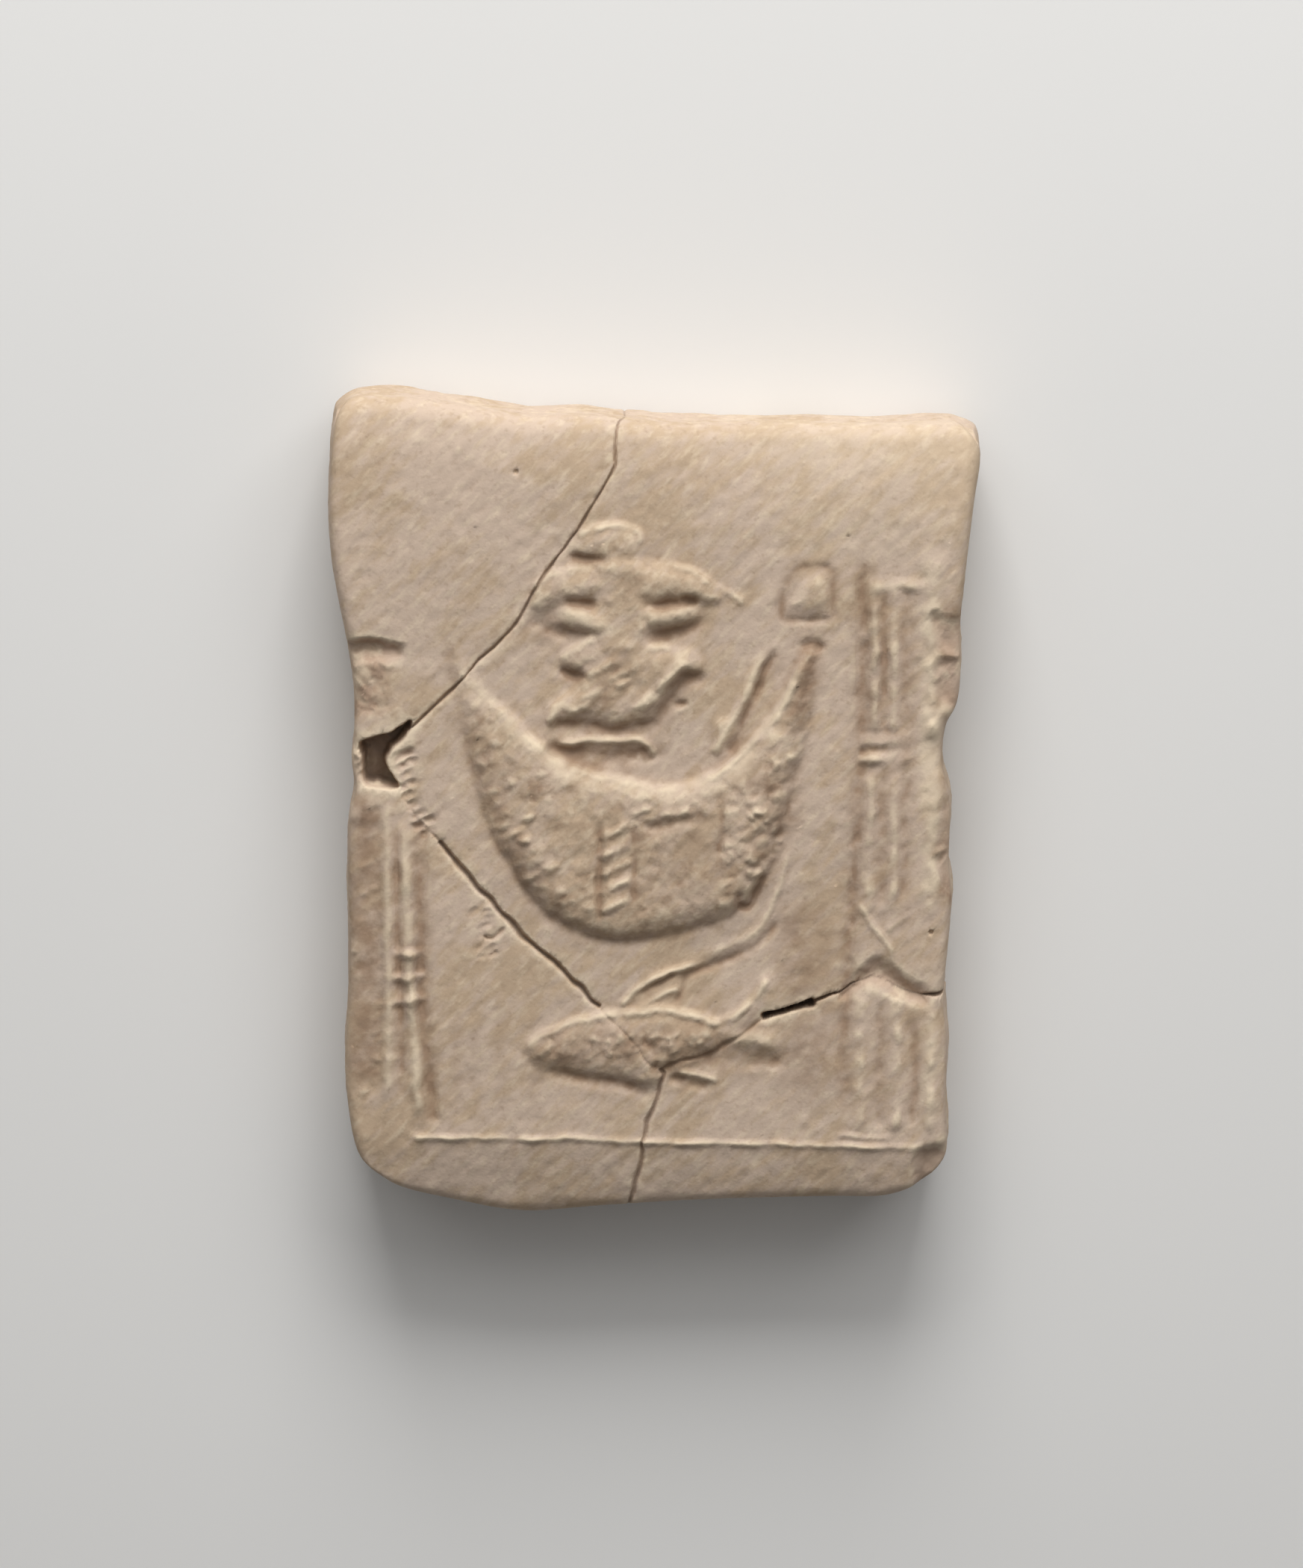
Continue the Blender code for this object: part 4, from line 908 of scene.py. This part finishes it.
# %% Breaks
# Width, depth and share of dirt, then the path
BREAKS = {
    "top": (0.46, 0.6, 0.52, [
        -3.4, 45.3, -3.4, 44.4, -4, 43.6, -4.3, 42.4, -4.4, 41.2, -4.4, 39.9, -4.5, 38.7, -5.4, 37, -6.3,
        35.5, -7.2, 34, -8.4, 32, -9.3, 30.8, -10.5, 29.1, -11.5, 27.8, -12.3, 26.7, -13.8, 24.3, -14.8,
        22.3, -16, 20.6, -18.4, 18.2, -19.7, 17.1, -20.8, 15.7, -22.5, 13.9, -23.8, 12.7, -25.1, 11.5,
        -26.3, 10.3, -27.4, 9.3, -28.7, 8.7]),
    "left_upper": (0.5, 0.25, 0.2, [-28.2, 1.6, -27.4, 0.6, -26.4, -1.1, -24.8, -2.6, -23.9, -3.6]),
    "left": (0.8, 0.7, 0.6, [
        -24, -3.5, -23.3, -4.4, -22.1, -5.9, -20.9, -7.2, -19.8, -8.7, -18.5, -9.8, -17.4, -11.3, -16.1,
        -12.5, -14.8, -14.2, -13, -15.6, -11.6, -16.7, -10.6, -17.7, -9.3, -19.2, -8.2, -20, -7.3, -21.3,
        -6.3, -22.1]),
    "across_fish": (0.3, 0.16, 0.16, [
        -6.3, -22.1, -5.2, -23.4, -3.9, -24.5, -2.7, -25.8, -1.8, -26.8, -1, -28.3, 0.7, -29.3]),
    "right": (0.46, 1.0, 0.6, [
        34.5, -20.3, 33.1, -20.5, 31.7, -20.8, 30.2, -20.8, 28.9, -20.6, 27.7, -20.2, 26.2, -19.3, 24.7,
        -18.7, 23.6, -19.1, 22.2, -19.6, 21, -20.5, 19.8, -20.8, 17.7, -21.7]),
    "slot": (1.3, 2.6, 1.0, [17.6, -21.8, 14.7, -22.6, 12.4, -23.3]),
    "behind_fish": (0.9, 0.26, 0.22, [
        12.8, -23.1, 11.6, -23.9, 10.1, -25.2, 8.2, -26.3, 6.4, -27.4, 4.5, -28, 2.8, -28.3, 0.7, -29.3]),
    "foot": (0.76, 0.5, 0.5, [
        0.7, -29.3, 1, -30, 0.6, -31.1, 0.4, -32.3, -0.2, -33.9, -0.9, -35.4, -1.1, -36.9, -1.5, -37.9,
        -1.4, -39.3, -1.8, -41.1, -2.2, -42.5, -2.4, -43.6, -2.9, -45.3, -3, -47]),
}


def breaks_through(x, y, lip=0.05):
    """How deep the breaks cut at some places, and how much of each place they take."""
    frayed = Face(x + 0.04 * rough(x, y, 1.1, 71), y + 0.04 * rough(x, y, 1.1, 74))
    cut = np.zeros(len(x))
    taken = np.zeros(len(x))
    for width, depth, dirt, path in BREAKS.values():
        spots, away, _ = frayed.near(curve_through(path), 1.6 * width)
        ragged = 0.5 * width * (0.8 + 0.35 * noise(x[spots], y[spots], 2.2, 73))
        share = clamp(1.25 - away / ragged)
        beside = lip * clamp(1.0 - away / (1.4 * width))
        cut[spots] = np.maximum(cut[spots], np.maximum(depth * share, beside))
        taken[spots] = np.maximum(taken[spots], dirt * share)
    return cut, taken


break_cut, crack_dirt_and_hole_shade = breaks_through(X, Y)
# Painted shade: deep in the lost piece at the left, the breaks' dark colour is painted too, where little
# light reaches.
crack_dirt_and_hole_shade = np.maximum(crack_dirt_and_hole_shade, 0.55 * smooth((face.loss - 1.5) / 2.0))
loss = np.maximum(face.loss, break_cut)
print("places in the breaks", int((crack_dirt_and_hole_shade > 0.5).sum()))

# %% [markdown]
# ## One closed shell
#
# The solid body is a box of rounded clay. The face is the fine sheet; round its rim it turns over,
# the side goes down with a slight bulge, and turns under to a flat back. The back's grid is three
# times coarser and shares every third point of the rim, so nothing is left open. The side and the
# back are plainer, with the same skin, and the breaks run on down the side and across the back.

# %% From sheet to tablet, and the face's heights
MM = 0.001
WIDTH, HEIGHT = (solid_high - solid_low)[:2]
THICKNESS = 16.5
SIDE_BULGE = 0.5
BACK_ROUNDING = 3.2

rim_shares = np.linspace(0.0, 1.0, 400)
four_sides = (TOP_SIDE, BOTTOM_SIDE, LEFT_SIDE, RIGHT_SIDE)
rim_places = np.vstack([side_at(side, rim_shares) for side in four_sides])
sheet_low = rim_places.min(axis=0)
sheet_high = rim_places.max(axis=0)


def to_tablet(places):
    """Stretch places on the sheet, in millimetres, to the tablet's width and height."""
    return ((places - sheet_low) / (sheet_high - sheet_low) - 0.5) * np.array([WIDTH, HEIGHT]) / MM


nearness = [clamp(1.0 - np.minimum(share, 1 - share) * size / RIM_ROUNDING)
            for share, size in ((U, SHEET_WIDTH), (V, SHEET_HEIGHT))]
rim = clamp(np.hypot(*nearness))
turned = RIM_ROUNDING * (1.0 - np.sqrt(1.0 - rim ** 2))
z = THICKNESS + ground - turned + (worn + skin) * (1.0 - rim ** 4) - loss * (1.0 - 0.6 * rim ** 4)
flat_place = to_tablet(SHEET)
pulled_in = 1.0 - 2 * SIDE_BULGE * rim[:, None] ** 4 / np.array([SHEET_WIDTH, SHEET_HEIGHT])
front = np.column_stack([flat_place * pulled_in, z])
print("face from", z.min().round(2), "to", z.max().round(2), "mm")

# %% Side rings
SIDE_RINGS = 26
BACK_RINGS = 9
CORNER_RUBS = 80


def rim_of(grid):
    """The point numbers round the rim of a grid."""
    return np.concatenate([grid[0, :-1], grid[:-1, -1], grid[-1, :0:-1], grid[:0:-1, 0]])


index = np.arange(len(X)).reshape(GRID)
loop = rim_of(index)
around = flat_place[loop]
soft = around
for _ in range(CORNER_RUBS):
    soft = 0.25 * np.roll(soft, 1, axis=0) + 0.5 * soft + 0.25 * np.roll(soft, -1, axis=0)
onward = np.roll(soft, -4, axis=0) - np.roll(soft, 4, axis=0)
outward = np.column_stack([onward[:, 1], -onward[:, 0]]) / np.linalg.norm(onward, axis=1)[:, None]
rim_cut, rim_cracked = breaks_through(*SHEET[loop].T, lip=0.0)

levels = [(1.0 - k / SIDE_RINGS, 1.0, SIDE_BULGE * (2 * k / SIDE_RINGS - 1) ** 2)
          for k in range(1, SIDE_RINGS + 1)]
for k in range(1, BACK_RINGS + 1):
    turn = 0.5 * math.pi * k / BACK_RINGS
    levels.append((0.0, 1.0 - math.sin(turn), SIDE_BULGE + BACK_ROUNDING * (1.0 - math.cos(turn))))


def side_ring(above, rise, shrink):
    """One ring of the side: its places, its skin and how much of it a break has taken."""
    below = 1.0 - above
    rounded = around + (soft - around) * below ** 0.3 * rise ** 0.5
    xy = rounded * (1.0 - 2 * shrink / np.array([SHEET_WIDTH, SHEET_HEIGHT]))
    height = BACK_ROUNDING * rise + above * (front[loop, 2] - BACK_ROUNDING)
    x, y = xy.T
    uneven = 0.28 * (1 + rough(x + height, y + 0.7 * height, 5.0, 81)) + 0.06 * rough(x + height, y, 1.1, 85)
    inwards = below ** 0.5 * rise ** 0.3 * (uneven + 0.45 * rim_cut)
    places = np.column_stack([xy - outward * inwards[:, None], height])
    return places, -uneven, rim_cracked * (0.3 + 0.7 * rise)


rings = [side_ring(*level) for level in levels[:-1]]
print("side rings", len(rings) + 1, "of", len(loop), "points")

# %% Back
coarse = index[::BACK_STRIDE, ::BACK_STRIDE]
back_xy = flat_place[coarse.ravel()] * (1.0 - 2 * levels[-1][2] / np.array([SHEET_WIDTH, SHEET_HEIGHT]))
from_rim = smooth((1.0 - np.abs(2 * np.stack([U, V])[:, coarse.ravel()] - 1.0)).min(axis=0) * 18)
x, y = SHEET[coarse.ravel()].T
back_cut, back_cracked = breaks_through(x, y, lip=0.0)
palm = 0.16 * (1 + noise(x, y, 17.0, 91)) + 0.08 * (1 + noise(x, y, 7.0, 92))
back_uneven = palm + 0.05 * (2 + rough(x / 4.0, y, 1.6, 94)) + 0.04 * (2 + rough(x, y, 1.2, 97))
back_z = from_rim * (back_uneven + 0.45 * back_cut)
back = np.column_stack([back_xy, back_z])
print("back from", back_z.min().round(3), "to", back_z.max().round(2), "mm")

# %% Join front, side and back
places = np.vstack([front] + [ring[0] for ring in rings] + [back])
front_count = len(front)
ring_count = len(loop)
back_start = front_count + len(rings) * ring_count
back_index = back_start + np.arange(coarse.size).reshape(coarse.shape)
back_loop = rim_of(back_index)
nearest_back = back_loop[np.round(np.arange(ring_count) / BACK_STRIDE).astype(int) % len(back_loop)]


def quads(grid):
    """Faces between the rows and columns of a grid of point numbers."""
    return np.stack([grid[:-1, :-1], grid[:-1, 1:], grid[1:, 1:], grid[1:, :-1]], axis=-1).reshape(-1, 4)


def bands(upper, lower):
    """Triangles between two rings of points, upper above lower, looking outwards."""
    next_upper = np.roll(upper, -1)
    next_lower = np.roll(lower, -1)
    faces = np.vstack([np.column_stack([upper, lower, next_lower]),
                       np.column_stack([upper, next_lower, next_upper])])
    whole = (faces[:, 0] != faces[:, 1]) & (faces[:, 1] != faces[:, 2]) & (faces[:, 2] != faces[:, 0])
    return faces[whole]


side_loops = [front_count + k * ring_count + np.arange(ring_count) for k in range(len(rings))]
loops = [loop] + side_loops + [nearest_back]
triangles = [bands(upper, lower) for upper, lower in zip(loops[:-1], loops[1:])]
for quad in (quads(index), quads(back_index)[:, ::-1]):
    triangles += [quad[:, (0, 1, 2)], quad[:, (0, 2, 3)]]
triangles = np.vstack(triangles)
print("points", len(places), "triangles", len(triangles))

# %% [markdown]
# ## What the colour needs to know
#
# Brown staining sits in hollows and pale dust on ridges, so each point is told how hollow it is:
# its height against the average height around it. Five more numbers say where drawn brown stains
# and the painted shade of the grooves lie, where pale dust and painted highlights lie (on the head's
# roll and the rims of chips, with the upper right paler as well), where the relief is raised, and
# where there are breaks, broken clay and the painted shade deep in the hole. All six travel with
# the mesh as named attributes, which the material reads.

# %% Hollows, breaks and losses
BROAD_RUBS = 60
NEAR_RUBS = 12
STAIN_AND_SHADE_RUBS = 10
PALE_RUBS = 3
relief_only = worn + skin - loss


def hollow_of(heights, times, depth):
    """How far the heights lie below their own average."""
    return np.clip((rubbed(heights, times) - heights) / depth, -1.0, 1.0)


pale = rubbed(face.pale * np.clip(0.7 + 0.8 * rough(X, Y, 1.4, 121), 0.0, 1.4), PALE_RUBS)
# Painted highlight: the head's roll, which faces the lamps, is painted paler. The upper right is made paler
# as well.
pale = pale + 0.08 * smooth(roll / 1.4) + 0.16 * smooth((X - 6.0) / 14.0) * smooth((Y - 24.0) / 8.0)
# The brown layer holds the stains and the painted shade laid along the grooves.
brown = rubbed(face.stain, STAIN_AND_SHADE_RUBS)
broad = hollow_of(relief_only, BROAD_RUBS, 0.3)
hollowness = 0.6 * broad + 0.4 * hollow_of(relief_only, NEAR_RUBS, 0.12)
side_uneven, side_cracked = [np.concatenate([ring[k] for ring in rings]) for k in (1, 2)]


def on_all(front_share, side_share=0 * side_uneven, back_share=np.zeros(len(back))):
    """A number for every point of the front, the side and the back."""
    return np.concatenate([front_share, side_share, back_share])


ATTRIBUTES = {
    "hollow": on_all(hollowness * (1.0 - rim ** 4), 0.8 * side_uneven),
    "brown": on_all(brown),
    "pale": on_all(pale),
    "raised": on_all(raised),
    "dirt_and_hole_shade": on_all(crack_dirt_and_hole_shade, side_cracked, back_cracked),
    "broken": on_all(broken),
}
for name, values in ATTRIBUTES.items():
    print(name, values.min().round(2), values.max().round(2))

# %% Mesh, thinned to its budget
TRIANGLE_BUDGET = 188000
mesh = bpy.data.meshes.new("tablet_surface")
mesh.vertices.add(len(places))
mesh.vertices.foreach_set("co", (places * MM).ravel())
mesh.loops.add(3 * len(triangles))
mesh.loops.foreach_set("vertex_index", triangles.ravel().astype(np.int32))
mesh.polygons.add(len(triangles))
mesh.polygons.foreach_set("loop_start", np.arange(0, 3 * len(triangles), 3, dtype=np.int32))
mesh.update(calc_edges=True)
for name, values in ATTRIBUTES.items():
    mesh.attributes.new(name, "FLOAT", "POINT").data.foreach_set("value", values.astype(np.float32))

dense = in_scene("dense", mesh)
thin = dense.modifiers.new("Fewer triangles", "DECIMATE")
thin.ratio = TRIANGLE_BUDGET / len(triangles)
surface = worked_out(dense)
surface.name = "worn_tablet"
surface.shade_smooth()
tablet = in_scene("worn_tablet", surface)
print("triangles kept", len(surface.polygons), "attributes", [a.name for a in surface.attributes])

# %% [markdown]
# ## Fired clay
#
# The clay fired to a warm buff. Mottling of two sizes comes from noise on Object coordinates, and
# noise stretched along the drag marks streaks it. The attributes then place the brown stain with the
# painted shade of the grooves, the pale dust with painted highlights, the fresher clay of the losses,
# and the old dirt of the breaks with the painted shade deep in the hole, each under noise. Fine
# grain and drag marks too small for the mesh are bump.

# %% Clay material
BUFF = (0.556, 0.43, 0.332, 1.0)
OCHRE = (0.49, 0.36, 0.24, 1.0)
STAIN_AND_SHADE = (0.275, 0.175, 0.108, 1.0)
DUST_AND_HIGHLIGHT = (0.735, 0.606, 0.438, 1.0)
OLD_DIRT_AND_HOLE_SHADE = (0.085, 0.055, 0.038, 1.0)
FRESH_BREAK = (0.5, 0.36, 0.265, 1.0)
ALONG_DRAG = (3.0, 1.0, 1.0)
GRAIN_DEPTH = 0.00006
# Sockets of a mix node that is set to colours
COLOUR_A = 6
COLOUR_B = 7
MIXED_COLOUR = 2

fired_clay.use_nodes = True
clay = fired_clay.node_tree
clay_shader = clay.nodes["Principled BSDF"]
place = clay.nodes.new("ShaderNodeTexCoord").outputs["Object"]


def clay_noise(scale, detail=3.0, turned=None):
    """Noise on the clay, with an optional stretch along the drag marks."""
    node = add_node(clay, "ShaderNodeTexNoise", Scale=scale, Detail=detail)
    source = place
    if turned:
        stretched = add_node(clay, "ShaderNodeMapping", {"vector_type": "TEXTURE"}, Vector=place,
                             Rotation=(0, 0, math.radians(45)), Scale=turned)
        source = stretched.outputs[0]
    clay.links.new(source, node.inputs["Vector"])
    return node.outputs["Fac"]


def between(value, low, high, to_low=0.0, to_high=1.0):
    """A value mapped from one range to another and kept within it."""
    node = add_node(clay, "ShaderNodeMapRange", Value=value, From_Min=low, From_Max=high, To_Min=to_low,
                    To_Max=to_high)
    return node.outputs[0]


def paint(share, under, over):
    """Lay one colour over another by a share."""
    node = clay.nodes.new("ShaderNodeMix")
    node.data_type = "RGBA"
    feed(node.inputs["Factor"], share)
    feed(node.inputs[COLOUR_A], under)
    feed(node.inputs[COLOUR_B], over)
    return node.outputs[MIXED_COLOUR]


def carried(name):
    """The number that the mesh carries under a name."""
    return add_node(clay, "ShaderNodeAttribute", {"attribute_name": name}).outputs["Fac"]


hollow = plus(carried("hollow"), between(clay_noise(700, 4.0), 0.3, 0.7, -0.3, 0.3))
patches = plus(clay_noise(95, 3.0), times(clay_noise(750, 4.0, ALONG_DRAG), 0.9))
warmth = plus(between(patches, 0.86, 1.12), times(carried("raised"), 0.35))
mottled = paint(calculate("MINIMUM", warmth, 0.9), BUFF, OCHRE)
streaked = paint(between(clay_noise(1200, 4.0, ALONG_DRAG), 0.52, 0.75, 0.0, 0.45), mottled, DUST_AND_HIGHLIGHT)
dusty = paint(between(hollow, -0.15, -0.85, 0.0, 0.7), streaked, DUST_AND_HIGHLIGHT)
speckled = paint(between(clay_noise(1500, 4.0), 0.56, 0.78, 0.0, 0.36), dusty, STAIN_AND_SHADE)
blotches = times(between(clay_noise(520, 4.0), 0.52, 0.7, 0.0, 0.5), carried("raised"))
browned = times(carried("brown"), between(clay_noise(480, 4.0), 0.34, 0.6, 0.45, 1.35))
darkened = plus(plus(between(hollow, 0.15, 0.95, 0.0, 0.45), blotches), browned)
# Brown from hollows, blotches and stains, with the painted shade of the grooves.
stained = paint(calculate("MINIMUM", darkened, 0.85), speckled, STAIN_AND_SHADE)
# Pale dust on worn ridges, with painted highlights on the head's roll and the rims of chips.
worn_pale_and_highlight = paint(between(carried("pale"), 0.05, 0.6, 0.0, 0.55), stained, DUST_AND_HIGHLIGHT)
scarred = paint(between(carried("broken"), 0.2, 1.0, 0.0, 0.6), worn_pale_and_highlight, FRESH_BREAK)
dusted = between(clay_noise(380, 4.0), 0.5, 0.62, 0.0, 0.5)
fresh = paint(times(between(carried("broken"), 0.2, 0.8), dusted), scarred, DUST_AND_HIGHLIGHT)
# Old dirt darkens the breaks; deep in the hole the same dark colour is painted shade.
dirty_and_hole_shaded = paint(between(carried("dirt_and_hole_shade"), 0.2, 0.95, 0.0, 0.94), fresh, OLD_DIRT_AND_HOLE_SHADE)
clay.links.new(dirty_and_hole_shaded, clay_shader.inputs["Base Color"])
clay.links.new(between(clay_noise(500), 0.3, 0.7, 0.84, 0.96), clay_shader.inputs["Roughness"])

drags = times(clay_noise(900, 3.0, ALONG_DRAG), 1.2)
grain = plus(clay_noise(2600, 4.0), drags)
bump = add_node(clay, "ShaderNodeBump", Strength=0.55, Distance=GRAIN_DEPTH, Height=grain)
clay.links.new(bump.outputs["Normal"], clay_shader.inputs["Normal"])
surface.materials.clear()
surface.materials.append(fired_clay)
print("clay nodes", len(clay.nodes))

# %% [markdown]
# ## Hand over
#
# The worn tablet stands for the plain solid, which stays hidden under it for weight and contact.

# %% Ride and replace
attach(tablet, "root")
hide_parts("clay_tablet")
